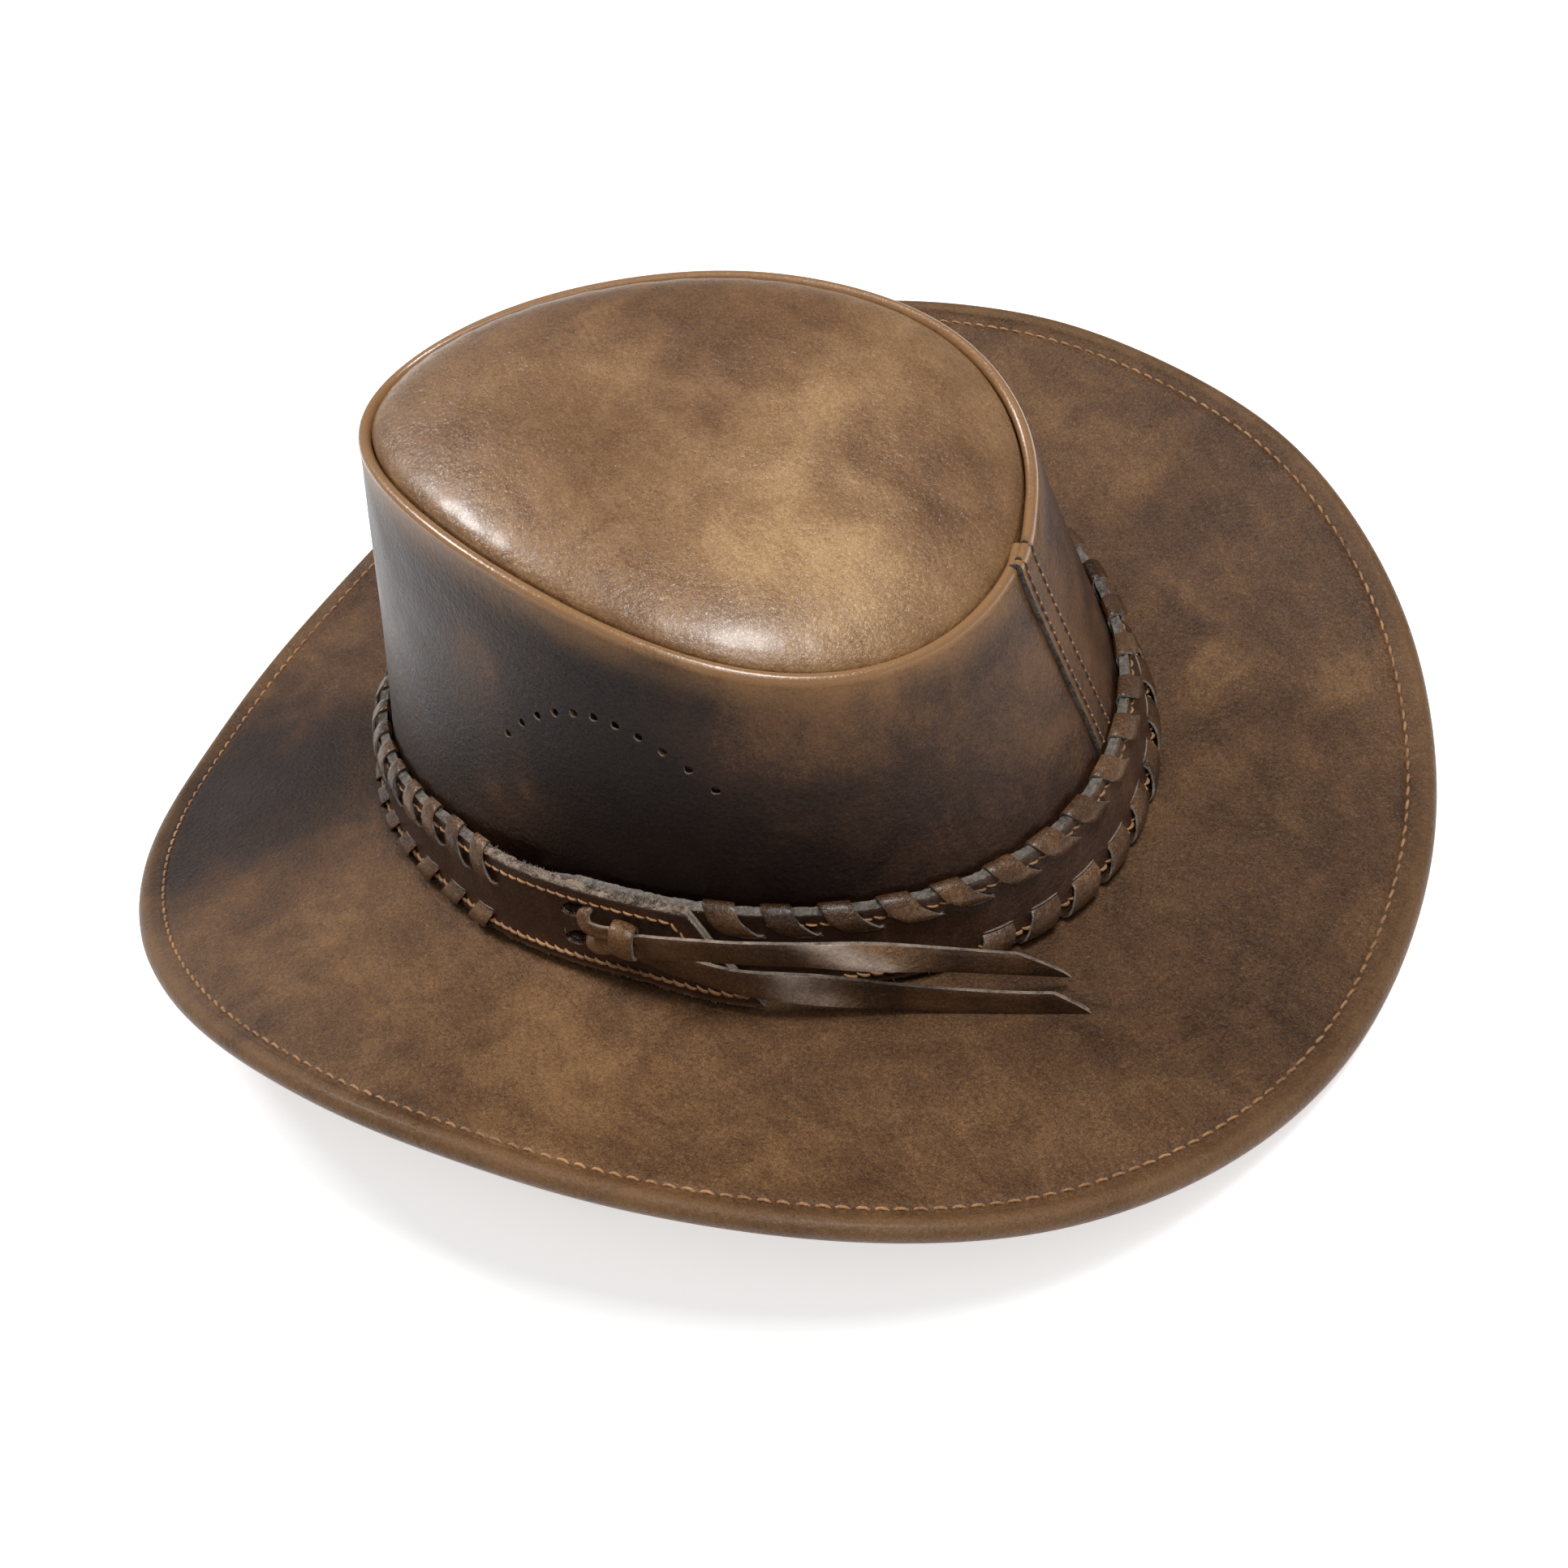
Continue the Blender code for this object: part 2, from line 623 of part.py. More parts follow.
# ---- Hat band -------------------------------------------------------------------------------
BACKING_OUT = GAP + LACE_THICKNESS + GAP
OUTER_OUT = BACKING_OUT + BAND_LEATHER + GAP
BAND_LIFT = OUTER_OUT + BAND_LEATHER + 2 * GAP - BACKING_OUT


def smooth(value):
    value = min(max(value, 0.0), 1.0)
    return value * value * (3.0 - 2.0 * value)


def lap_share(turn):
    """1 where the strap lies over its own inner end, 0 where it lies on the crown."""
    return 1.0 - smooth((turn - BAND_LAP_TURN) / (BAND_EVEN_TURN - BAND_LAP_TURN))


def band_point(turn, level, out):
    """Point on the strap: level 0 is its lower edge and 1 its upper edge."""
    height = mix(BAND_LOW, BAND_HIGH, level) + BAND_END_RISE * lap_share(turn)
    flare = smooth((BAND_FLARE_TURN - turn) / (BAND_FLARE_TURN - BAND_TIP_TURN))
    out += BAND_LIFT * lap_share(turn) + BAND_FLARE * flare * (1.0 - level)
    return wall_point(turn, height, out)


def strap_column(turn, slant, out):
    """Section of one ply; slant turns its upper edge further round, for the cut outer end."""
    low = turn
    high = turn + slant
    return [band_point(low, 0.0, out), band_point(high, 1.0, out),
            band_point(high, 1.0, out + BAND_LEATHER), band_point(low, 0.0, out + BAND_LEATHER)]


def strap_columns(out):
    columns = [strap_column(BAND_TIP_TURN, BAND_SLANT, out)]
    columns.append(strap_column(BAND_TIP_TURN + BAND_SLANT, BAND_SLANT * 0.25, out))
    columns += [strap_column(turn, 0.0, out) for turn in span_turns(10 * STEP, BAND_END_TURN)]
    return columns


def make_slot_cutter():
    builder = bmesh.new()
    middle = foot(90.0).x
    for height in SLOT_HEIGHTS:
        centre = Vector((middle, SLOT_MIDDLE_Y, foot(88.0).z + height))
        size = Vector((0.030, SLOT_LENGTH, SLOT_OPENING))
        made = bmesh.ops.create_cube(builder, size=1.0)
        for vert in made["verts"]:
            offset = Vector((vert.co.x * size.x, vert.co.y * size.y, vert.co.z * size.z))
            vert.co = centre + offset
    cutter = make_object("slot_cutter", builder, DARK_LEATHER, 0.8)
    hide_guide(cutter)
    return cutter


def lace_column(turn, edge, inward):
    """U-shaped section of a whip-laced edge; inward is +1 for the lower edge, -1 for the upper."""
    skins = (GAP, GAP + LACE_THICKNESS, OUTER_OUT + BAND_LEATHER + 3 * GAP)
    outer = skins[2] + LACE_THICKNESS
    span = BAND_HIGH - BAND_LOW
    grip = edge + inward * LACE_REACH / span
    clear = edge - inward * GAP / span
    ridge = edge - inward * (GAP + LACE_THICKNESS) / span
    corners = ((grip, skins[0]), (ridge, skins[0]), (ridge, outer), (grip, outer),
               (grip, skins[2]), (clear, skins[2]), (clear, skins[1]), (grip, skins[1]))
    return [band_point(turn, level, out) for level, out in corners]


def make_hat_band():
    slots = make_slot_cutter()
    backing = make_object("hatband_backing_ply", skin(strap_columns(BACKING_OUT), False),
                          DARK_LEATHER, 0.7)
    cut(backing, slots)
    outer = make_object("hatband_outer_ply", skin(strap_columns(OUTER_OUT), False),
                        DARK_LEATHER, 0.4)
    cut(outer, slots)
    span = BAND_HIGH - BAND_LOW
    thread_out = OUTER_OUT + BAND_LEATHER + GAP / 2 + THREAD_RADIUS
    rows = (("hatband_upper_thread", 1.0 - THREAD_INSET / span, UPPER_THREAD_TURNS),
            ("hatband_lower_thread", THREAD_INSET / span, LOWER_THREAD_TURNS))
    for name, level, ends in rows:
        def centre(turn, level=level):
            return band_point(turn, level, thread_out)

        make_ring_thread(name, span_turns(*ends), centre, foot_out, False, THREAD_TAN)
    columns = [lace_column(turn, 1.0, -1.0) for turn in span_turns(*UPPER_LACE_TURNS)]
    make_object("upper_edge_lace", skin(columns, False), LEATHER, 0.4)
    columns = [lace_column(turn, 0.0, 1.0) for turn in span_turns(*LOWER_LACE_TURNS)]
    make_object("lower_edge_lace", skin(columns, False), LEATHER, 0.4)


# ---- Tie ------------------------------------------------------------------------------------
def tie_point(y, height, out):
    """Point in front of the crown's left side, by its place along Y instead of a turn."""
    turn = math.degrees(math.acos((y - FOOT_SHIFT) / FOOT_HALF_LENGTH))
    point = wall_point(turn, height, out)
    return Vector((point.x, y, point.z))


def make_tie_loop():
    """Lace that runs behind both ends of the strap and out through its two slots."""
    low, high = SLOT_HEIGHTS
    front = OUTER_OUT + BAND_LIFT + BAND_LEATHER + 2 * GAP + LOOP_RADIUS
    back = GAP + LOOP_RADIUS
    knot = KNOT_Y[0] - GAP
    middle = SLOT_MIDDLE_Y
    route = [(knot, low + 0.001, front + 0.001), (middle + 0.003, low, front),
             (middle, low, front - 0.0008), (middle, low, back + 0.0008),
             (middle, low + 0.0008, back), (middle, high - 0.0008, back),
             (middle, high, back + 0.0008), (middle, high, front - 0.0008),
             (middle + 0.003, high, front), (knot, high - 0.001, front + 0.001)]
    points = [tie_point(*place) for place in route]
    make_tube("tie_loop", points, LOOP_RADIUS, 6, LEATHER, 0.45)


def make_tie_knot():
    """Wrap of lace that gathers the loop and the two tails, a pillow-shaped block."""
    low, high = KNOT_HEIGHTS
    back = OUTER_OUT + BAND_LIFT + BAND_LEATHER + 3 * GAP
    columns = []
    for share, fullness in KNOT_PUFF:
        y = mix(KNOT_Y[0], KNOT_Y[1], share)
        depth = KNOT_DEPTH * fullness
        bottom = low + KNOT_TUCK * (1.0 - fullness)
        top = high - KNOT_TUCK * (1.0 - fullness)
        corners = ((bottom, 0.0), (top, 0.0), (top, depth * 0.6), (top - KNOT_ROUND, depth),
                   (bottom + KNOT_ROUND, depth), (bottom, depth * 0.6))
        columns.append([tie_point(y, height, back + KNOT_LIFT + out) for height, out in corners])
    make_object("tie_knot", skin(columns, False), LEATHER, 0.4)


def route_point(route, share):
    """Point on a smooth curve through a route's points (a Catmull-Rom spline)."""
    spans = len(route) - 1
    place = min(max(share, 0.0), 0.9999) * spans
    k = int(place)
    t = place - k
    ends = [Vector(route[min(max(k + step, 0), spans)]) for step in (-1, 0, 1, 2)]
    before, start, end, after = ends
    bend = (before * 2 - start * 5 + end * 4 - after) * t * t
    twist = (start * 3 - before - end * 3 + after) * t ** 3
    return (start * 2 + (end - before) * t + bend + twist) * 0.5


def make_tail(name, route, hinge):
    """Flat tail of lace with a diagonal cut at its tip; its origin is on its swing axis."""
    length = sum((Vector(b) - Vector(a)).length for a, b in zip(route, route[1:]))
    lean = Vector((TAIL_LEAN, 0.0, 1.0))
    columns = []
    for k in range(TAIL_STEPS + 1):
        column = []
        for across, side in ((-0.5, -0.5), (0.5, -0.5), (0.5, 0.5), (-0.5, 0.5)):
            share = k / TAIL_STEPS * (1.0 - (0.5 + across) * TAIL_CUT / length)
            tangent = route_point(route, share + 0.02) - route_point(route, share - 0.02)
            tangent.normalize()
            rise = (lean - tangent * lean.dot(tangent)).normalized()
            out = tangent.cross(rise)
            point = route_point(route, share) + rise * (across * TAIL_WIDTH)
            column.append(point + out * (side * TAIL_THICKNESS))
        columns.append(column)
    tail = make_object(name, skin(columns, False), LEATHER, 0.42)
    for vert in tail.data.vertices:
        vert.co -= Vector(hinge)
    tail.location = hinge
    return tail


def clear_scene():
    for old in list(bpy.data.objects):
        bpy.data.objects.remove(old, do_unlink=True)


clear_scene()
make_side_panel()
make_top_panel()
make_crown_threads()
make_brim()
make_brim_wire()
make_ferrule()
make_brim_thread()
make_sweatband()
make_hat_band()
make_tie_loop()
make_tie_knot()
make_tail("tie_tail_upper", UPPER_TAIL, UPPER_HINGE)
make_tail("tie_tail_lower", LOWER_TAIL, LOWER_HINGE)
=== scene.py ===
import math
import random

import bmesh
import bpy
from mathutils import Matrix, Vector, noise


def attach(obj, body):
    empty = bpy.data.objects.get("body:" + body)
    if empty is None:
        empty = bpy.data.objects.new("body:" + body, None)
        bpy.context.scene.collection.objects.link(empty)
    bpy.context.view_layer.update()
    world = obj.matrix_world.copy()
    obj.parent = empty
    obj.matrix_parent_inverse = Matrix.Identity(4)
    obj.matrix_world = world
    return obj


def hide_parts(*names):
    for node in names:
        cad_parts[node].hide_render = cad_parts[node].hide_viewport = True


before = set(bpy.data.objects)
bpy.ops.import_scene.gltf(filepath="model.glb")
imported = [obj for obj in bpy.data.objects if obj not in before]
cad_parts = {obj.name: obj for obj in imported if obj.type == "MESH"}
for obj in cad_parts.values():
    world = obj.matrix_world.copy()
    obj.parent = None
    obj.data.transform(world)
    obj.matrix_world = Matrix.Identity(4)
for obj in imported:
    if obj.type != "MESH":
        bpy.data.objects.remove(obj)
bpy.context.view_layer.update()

noise.seed_set(7)             # the same dents and patches at every run

# ---- Shape of the hat, as in its CAD source ---------------------------------------------------
FOOT_HALF_LENGTH = 0.1092
FOOT_HALF_WIDTH = 0.0887
FOOT_SHIFT = -0.0014
FOOT_TAPER = 0.040
FOOT_SADDLE = -0.0089
GROOVE_HALF_LENGTH = 0.0803
GROOVE_HALF_WIDTH = 0.0608
GROOVE_SHIFT = 0.0023
GROOVE_TAPER = 0.293
GROOVE_TAPER_2 = 0.041
GROOVE_HEIGHT = 0.0954
GROOVE_SLOPE = -0.0142
GROOVE_SADDLE = -0.0066
LIP_REACH = 0.0032
LIP_DROP = 0.0015
HEM_HALF_LENGTH = 0.1769
HEM_HALF_WIDTH = 0.1662
HEM_TAPER = 0.020
HEM_TAPER_2 = 0.081
HEM_HEIGHT = 0.0065
HEM_CURL = -0.0233
HEM_RIPPLE = -0.0012
HEM_RADIUS = 0.00285
HEM_BORE = 0.00155
HEM_DROP = 0.0022
HEM_FOLD = 0.0115
BRIM_BEND = 1.5
STITCH_INSET = 0.0072
TABLE_DROP = HEM_RADIUS - (HEM_HEIGHT + HEM_CURL + HEM_RIPPLE)

# ---- Leather, gaps and seams ------------------------------------------------------------------
GAP = 0.0003
CROWN_LEATHER = 0.0018
BRIM_LEATHER = 0.0014
SWEAT_LEATHER = 0.0012
BAND_LEATHER = 0.0010
LACE_THICKNESS = 0.0008
PILLOW = 0.0070
PILLOW_ORDER = 4
PILLOW_ROUND = 0.6
SEAM_DEPTH = 0.009
FLANGE_HEIGHT = 0.010
SWEAT_LOW = 0.0015
SWEAT_HIGH = 0.033
SWEAT_DEPTH = CROWN_LEATHER + 2 * BRIM_LEATHER + 3 * GAP

# ---- Back seam --------------------------------------------------------------------------------
SEAM_TURN = 1.5               # the over-layer's raw edge
SEAM_RAMP_TURN = -14.0        # the over-layer starts to rise here
SEAM_UNDER_TURN = -4.0        # the under-layer's hidden end
SEAM_STEP = 0.0014
SEAM_ROW_TURNS = (0.25, -3.7)
SEAM_STITCH_LOW = 0.0265

# ---- Vent holes -------------------------------------------------------------------------------
VENT_COUNT = 11
VENT_MIDDLE_Y = 0.0111
VENT_HALF_SPAN = 0.0275
VENT_TOP = 0.069
VENT_RISE = 0.0126
VENT_RADIUS = 0.00085 * 1.3   # as cut: the punched edge has pulled open

# ---- Hat band and tie -------------------------------------------------------------------------
BAND_LOW = 0.0026
BAND_HIGH = 0.0250
BAND_SPAN = BAND_HIGH - BAND_LOW
BAND_TIP_TURN = 66.0
BAND_SLANT = 6.0
BAND_SLANT_END = 80.0
BAND_LAP_TURN = 98.0
BAND_EVEN_TURN = 116.0
BAND_END_TURN = 360.0 + 97.5
BAND_END_TUCK = 0.22          # share of the band's height by which its covered end tapers
BAND_FLARE = 0.0025
BAND_FLARE_TURN = 84.0
BAND_END_RISE = 0.0012
BACKING_OUT = GAP + LACE_THICKNESS + GAP
OUTER_OUT = BACKING_OUT + BAND_LEATHER + GAP
BAND_LIFT = OUTER_OUT + BAND_LEATHER + 2 * GAP - BACKING_OUT
BAND_FACE = OUTER_OUT + BAND_LEATHER
UPPER_LACING = ((106.0, 360.0 + 72.5), True, 21)     # turns, whether upper, seed of its unevenness
LOWER_LACING = ((107.0, 360.0 + 38.0), False, 22)
THREAD_INSET = 0.0028
SLOT_MIDDLE_Y = 0.0010
SLOT_HEIGHTS = (0.0140, 0.0215)
SLOT_HALF_LENGTH = 0.0042
SLOT_HALF_HEIGHT = 0.0020
SLOT_TILT = 0.26
TAIL_WIDTH = 0.0070
TAIL_THICKNESS = 0.0012
TAIL_CUT = 0.0110
TAIL_LEAN = -0.25
UPPER_TAIL = ((0.0928, 0.0211, 0.0471), (0.0922, 0.0314, 0.0496), (0.0903, 0.0444, 0.0506),
              (0.0820, 0.0654, 0.0464), (0.0690, 0.0894, 0.0364), (0.0550, 0.1110, 0.0240))
LOWER_TAIL = ((0.0919, 0.0211, 0.0427), (0.0915, 0.0314, 0.0421), (0.0904, 0.0444, 0.0399),
              (0.0822, 0.0654, 0.0334), (0.0710, 0.0914, 0.0249), (0.0605, 0.1175, 0.0207))

UP = Vector((0.0, 0.0, 1.0))


def mix(start, end, share):
    return start + (end - start) * share


def smooth(value):
    value = min(max(value, 0.0), 1.0)
    return value * value * (3.0 - 2.0 * value)


def bell(value, width):
    return math.exp(-(value / width) ** 2)


def foot(turn):
    a = math.radians(turn)
    x = FOOT_HALF_WIDTH * math.sin(a) * (1 + FOOT_TAPER * math.cos(a))
    y = FOOT_SHIFT + FOOT_HALF_LENGTH * math.cos(a)
    return Vector((x, y, TABLE_DROP + FOOT_SADDLE * math.cos(2 * a)))


def groove(turn):
    a = math.radians(turn)
    x = GROOVE_HALF_WIDTH * math.sin(a)
    x *= 1 + GROOVE_TAPER * math.cos(a) + GROOVE_TAPER_2 * math.cos(2 * a)
    y = GROOVE_SHIFT + GROOVE_HALF_LENGTH * math.cos(a)
    z = TABLE_DROP + GROOVE_HEIGHT + GROOVE_SLOPE * math.cos(a) + GROOVE_SADDLE * math.cos(2 * a)
    return Vector((x, y, z))


def hem_line(turn):
    a = math.radians(turn)
    x = HEM_HALF_WIDTH * math.sin(a)
    x *= 1 + HEM_TAPER * math.cos(a) + HEM_TAPER_2 * math.cos(2 * a)
    y = HEM_HALF_LENGTH * math.cos(a)
    z = TABLE_DROP + HEM_HEIGHT + HEM_CURL * math.cos(2 * a) + HEM_RIPPLE * math.cos(4 * a)
    return Vector((x, y, z))


def outward(curve, turn):
    """Level unit vector square to a ring, pointing away from the hat's middle."""
    along = curve(turn + 0.05) - curve(turn - 0.05)
    return Vector((-along.y, along.x, 0.0)).normalized()


def lip_foot(turn):
    return groove(turn) + outward(groove, turn) * LIP_REACH - UP * LIP_DROP


def wall_height(turn):
    return lip_foot(turn).z - foot(turn).z


def wall_point(turn, height, out=0.0):
    share = height / wall_height(turn)
    return mix(foot(turn), lip_foot(turn), share) + outward(foot, turn) * out


def brim_out(turn):
    span = hem_line(turn) - foot(turn)
    return Vector((span.x, span.y, 0.0)).normalized()


def brim_width(turn):
    span = hem_line(turn) - foot(turn)
    return Vector((span.x, span.y, 0.0)).length + HEM_RADIUS


def brim_rise(turn):
    return hem_line(turn).z + HEM_DROP - foot(turn).z


def hem_slope(turn):
    return math.atan(BRIM_BEND * brim_rise(turn) / (brim_width(turn) - HEM_RADIUS))


def brim_point(turn, inset, up=0.0):
    """Point on the brim's top face, an inset in from the outermost line, moved straight up."""
    inner = foot(turn)
    width = brim_width(turn)
    share = (width - inset) / (width - HEM_RADIUS)
    point = inner + brim_out(turn) * (width - inset)
    point.z = inner.z + brim_rise(turn) * share ** BRIM_BEND + up
    return point


def hem_point(turn, angle, radius):
    """Point round the hem's middle line, its angle counted from the brim's own slope."""
    a = math.radians(angle) + hem_slope(turn)
    level = brim_out(turn) * (radius * math.cos(a))
    return hem_line(turn) + level + UP * (radius * math.sin(a))


def top_point(turn, share, up=0.0):
    """Point on the pillowed top panel, a share of the way from its middle to its seam."""
    a = math.radians(turn)
    rim = groove(turn) - outward(groove, turn) * GAP * 1.5
    x = rim.x * share
    y = mix(GROOVE_SHIFT, rim.y, share)
    z = TABLE_DROP + GROOVE_HEIGHT + GROOVE_SLOPE * share * math.cos(a)
    z += GROOVE_SADDLE * share ** 2 * math.cos(2 * a)
    z += PILLOW * (1.0 - share ** PILLOW_ORDER) ** PILLOW_ROUND
    return Vector((x, y, z + up))


def lap_share(turn):
    """1 where the band lies over its own inner end, 0 where it lies on the crown."""
    return 1.0 - smooth((turn - BAND_LAP_TURN) / (BAND_EVEN_TURN - BAND_LAP_TURN))


def band_point(turn, level, out):
    """Point on the band: level 0 is its lower edge and 1 its upper edge."""
    height = mix(BAND_LOW, BAND_HIGH, level) + BAND_END_RISE * lap_share(turn)
    flare = smooth((BAND_FLARE_TURN - turn) / (BAND_FLARE_TURN - BAND_TIP_TURN))
    out += BAND_LIFT * lap_share(turn) + BAND_FLARE * flare * (1.0 - level)
    return wall_point(turn, height, out)


def turn_at(y):
    """Turn of the point on the wearer's left of the foot line with this y."""
    return math.degrees(math.acos((y - FOOT_SHIFT) / FOOT_HALF_LENGTH))


def tie_point(y, height, out):
    point = wall_point(turn_at(y), height, out)
    return Vector((point.x, y, point.z))


# ---- Hand-made unevenness ---------------------------------------------------------------------
WAVE_SIZE = 0.055             # distance between one soft dent and the next
WAVE_DEPTH = 0.0007
WORLD_SHIFT = Vector((3.1, 1.7, 5.3))


def settled(point):
    """The same soft dents move every layer together, so that stacked layers stay apart."""
    return point + noise.noise_vector(point / WAVE_SIZE + WORLD_SHIFT) * WAVE_DEPTH


def rough(point, size, depth):
    """Uneven height of a raw or hand-shaped surface at a point."""
    return noise.noise(point / size + WORLD_SHIFT) * depth


# ---- Materials --------------------------------------------------------------------------------
def set_inputs(node, **inputs):
    """Constants on a node's sockets, their names written with _ for a space."""
    for name, value in inputs.items():
        node.inputs[name.replace("_", " ")].default_value = value


def add_node(tree, kind, **inputs):
    node = tree.nodes.new(kind)
    set_inputs(node, **inputs)
    return node


def start_material(name):
    material = bpy.data.materials.new(name)
    material.use_nodes = True
    tree = material.node_tree
    place = tree.nodes.new("ShaderNodeTexCoord").outputs["Object"]
    return material, tree, tree.nodes["Principled BSDF"], place


def link(tree, source, socket, target, name):
    tree.links.new(source.outputs[socket], target.inputs[name])


def add_maths(tree, operation, first, second):
    """A Math node; its first two inputs are each a number or a (node, socket name) pair."""
    node = tree.nodes.new("ShaderNodeMath")
    node.operation = operation
    for place, value in enumerate((first, second)):
        if isinstance(value, tuple):
            tree.links.new(value[0].outputs[value[1]], node.inputs[place])
        else:
            node.inputs[place].default_value = value
    return node


def add_noise(tree, place, scale, detail=4.0, roughness=0.55, distortion=0.0):
    node = add_node(tree, "ShaderNodeTexNoise", Scale=scale, Detail=detail,
                    Roughness=roughness, Distortion=distortion)
    tree.links.new(place, node.inputs["Vector"])
    return node


def add_ramp(tree, source, socket, stops):
    ramp = tree.nodes.new("ShaderNodeValToRGB")
    elements = ramp.color_ramp.elements
    while len(elements) < len(stops):
        elements.new(0.5)
    for element, (at, colour) in zip(elements, stops):
        element.position = at
        element.color = (*colour, 1.0)
    link(tree, source, socket, ramp, "Fac")
    return ramp


def add_bump(tree, height, depth, before=None):
    bump = add_node(tree, "ShaderNodeBump", Strength=1.0, Distance=depth)
    tree.links.new(height, bump.inputs["Height"])
    if before is not None:
        link(tree, before, "Normal", bump, "Normal")
    return bump


def add_average(tree, first, second):
    total = add_maths(tree, "ADD", (first, "Fac"), (second, "Fac"))
    return add_maths(tree, "MULTIPLY", (total, "Value"), 0.5)


def add_weighted(tree, start, parts):
    """start plus each (node, socket, weight) part's distance from one half, times its weight."""
    total = start - 0.5 * sum(weight for _, _, weight in parts)
    for node, socket, weight in parts:
        step = add_maths(tree, "MULTIPLY_ADD", (node, socket), weight)
        if isinstance(total, tuple):
            tree.links.new(total[0].outputs[total[1]], step.inputs[2])
        else:
            step.inputs[2].default_value = total
        total = (step, "Value")
    return total


def add_stretch(tree, place, angles, sizes):
    """Texture coordinates whose pattern is drawn out along turned axes."""
    node = tree.nodes.new("ShaderNodeMapping")
    node.vector_type = "TEXTURE"
    node.inputs["Rotation"].default_value = [math.radians(angle) for angle in angles]
    node.inputs["Scale"].default_value = sizes
    tree.links.new(place, node.inputs["Vector"])
    return node.outputs["Vector"]


def read_mark(tree, name):
    node = tree.nodes.new("ShaderNodeAttribute")
    node.attribute_name = name
    return node


def make_leather(name, stops, worn_and_sheen, roughness=0.42, blotch=1.0, grain=1.0, wax=0.06, shine=0.25):
    """Waxed pull-up leather: cloudy colour, fine pebble grain and lighter, smoother worn edges.

    Per-point marks on the mesh steer it: the tone mark lightens or darkens a region, in places as
    painted sheen and painted shade; the wear mark rubs an edge pale, in places as a painted
    highlight; and the crease mark wrinkles a region.
    """
    material, tree, shader, place = start_material(name)
    long_way = add_stretch(tree, place, (20.0, 12.0, 52.0), (3.2, 1.0, 1.5))
    cloud = add_noise(tree, place, 15.0, 3.0, 0.5, 0.8)
    patch = add_noise(tree, place, 40.0, 4.0, 0.50, 1.6)
    streak = add_noise(tree, long_way, 90.0, 5.0, 0.55, 1.0)
    pebble = add_noise(tree, place, 1250.0, 2.5, 0.6, 1.2)
    pore = add_noise(tree, place, 2600.0, 2.0, 0.6, 0.6)
    wisp = add_noise(tree, long_way, 55.0, 8.0, 0.7, 1.8)
    wisp = add_maths(tree, "SUBTRACT", (wisp, "Fac"), 0.5)
    wisp = add_maths(tree, "ABSOLUTE", (wisp, "Value"), 0.0)
    wisp = add_maths(tree, "MULTIPLY_ADD", (wisp, "Value"), -14.0)
    wisp.inputs[2].default_value = 1.0
    wisp.use_clamp = True
    # The tone mark holds real colour patches and, on the crown top, crown wall and tails, painted sheen and
    # painted shade.
    tone_and_sheen = read_mark(tree, "tone_and_sheen")
    # The wear mark rubs edges pale; on the tails' bends, and in part on the crown lip, it is a painted
    # highlight.
    wear_and_sheen = read_mark(tree, "wear_and_sheen")
    crease_mark = read_mark(tree, "crease")

    total = add_weighted(tree, 0.5, ((cloud, "Fac", 0.62 * blotch), (patch, "Fac", 0.62 * blotch),
                                     (streak, "Fac", 0.22 * blotch), (pebble, "Fac", 0.72 * grain),
                                     (pore, "Fac", 0.46 * grain)))
    total = add_maths(tree, "ADD", total, (tone_and_sheen, "Fac"))
    wisp = add_maths(tree, "MULTIPLY", (wisp, "Value"), 0.07 * blotch)
    total = add_maths(tree, "ADD", (total, "Value"), (wisp, "Value"))
    colour = add_ramp(tree, total, "Value", stops)

    # The worn colour goes where the wear mark lies: real rubbed edges, and painted highlights on the tails
    # and crown lip.
    rubbed_and_sheen = add_weighted(tree, 0.9, ((patch, "Fac", 1.6), (pebble, "Fac", 1.0)))
    rubbed_and_sheen = add_maths(tree, "MULTIPLY", rubbed_and_sheen, (wear_and_sheen, "Fac"))
    blend = tree.nodes.new("ShaderNodeMix")
    blend.data_type = "RGBA"
    blend.clamp_factor = True
    tree.links.new(rubbed_and_sheen.outputs["Value"], blend.inputs[0])
    tree.links.new(colour.outputs["Color"], blend.inputs[6])
    blend.inputs[7].default_value = (*worn_and_sheen, 1.0)
    tree.links.new(blend.outputs[2], shader.inputs["Base Color"])

    gloss = add_weighted(tree, roughness, ((patch, "Fac", 0.22), (pebble, "Fac", 0.18)))
    tree.links.new(gloss[0].outputs["Value"], shader.inputs["Roughness"])

    cell = add_node(tree, "ShaderNodeTexVoronoi", Scale=760.0)
    cell.feature = "SMOOTH_F1"
    cell.inputs["Smoothness"].default_value = 0.5
    tree.links.new(place, cell.inputs["Vector"])
    soft = add_noise(tree, place, 150.0, 4.0, 0.6)
    wrinkle = add_noise(tree, add_stretch(tree, place, (0.0, 0.0, 147.0), (6.0, 1.0, 1.0)),
                        260.0, 4.0, 0.55, 0.7)
    wrinkle = add_maths(tree, "MULTIPLY", (wrinkle, "Fac"), (crease_mark, "Fac"))
    bump = add_bump(tree, wrinkle.outputs["Value"], 0.0011)
    bump = add_bump(tree, soft.outputs["Fac"], 0.00035 * grain, bump)
    bump = add_bump(tree, streak.outputs["Fac"], 0.00030 * grain, bump)
    bump = add_bump(tree, pebble.outputs["Fac"], 0.00026 * grain, bump)
    bump = add_bump(tree, cell.outputs["Distance"], 0.00016 * grain, bump)
    link(tree, bump, "Normal", shader, "Normal")
    set_inputs(shader, Specular_IOR_Level=shine, Coat_Weight=wax, Coat_Roughness=0.24)
    return material


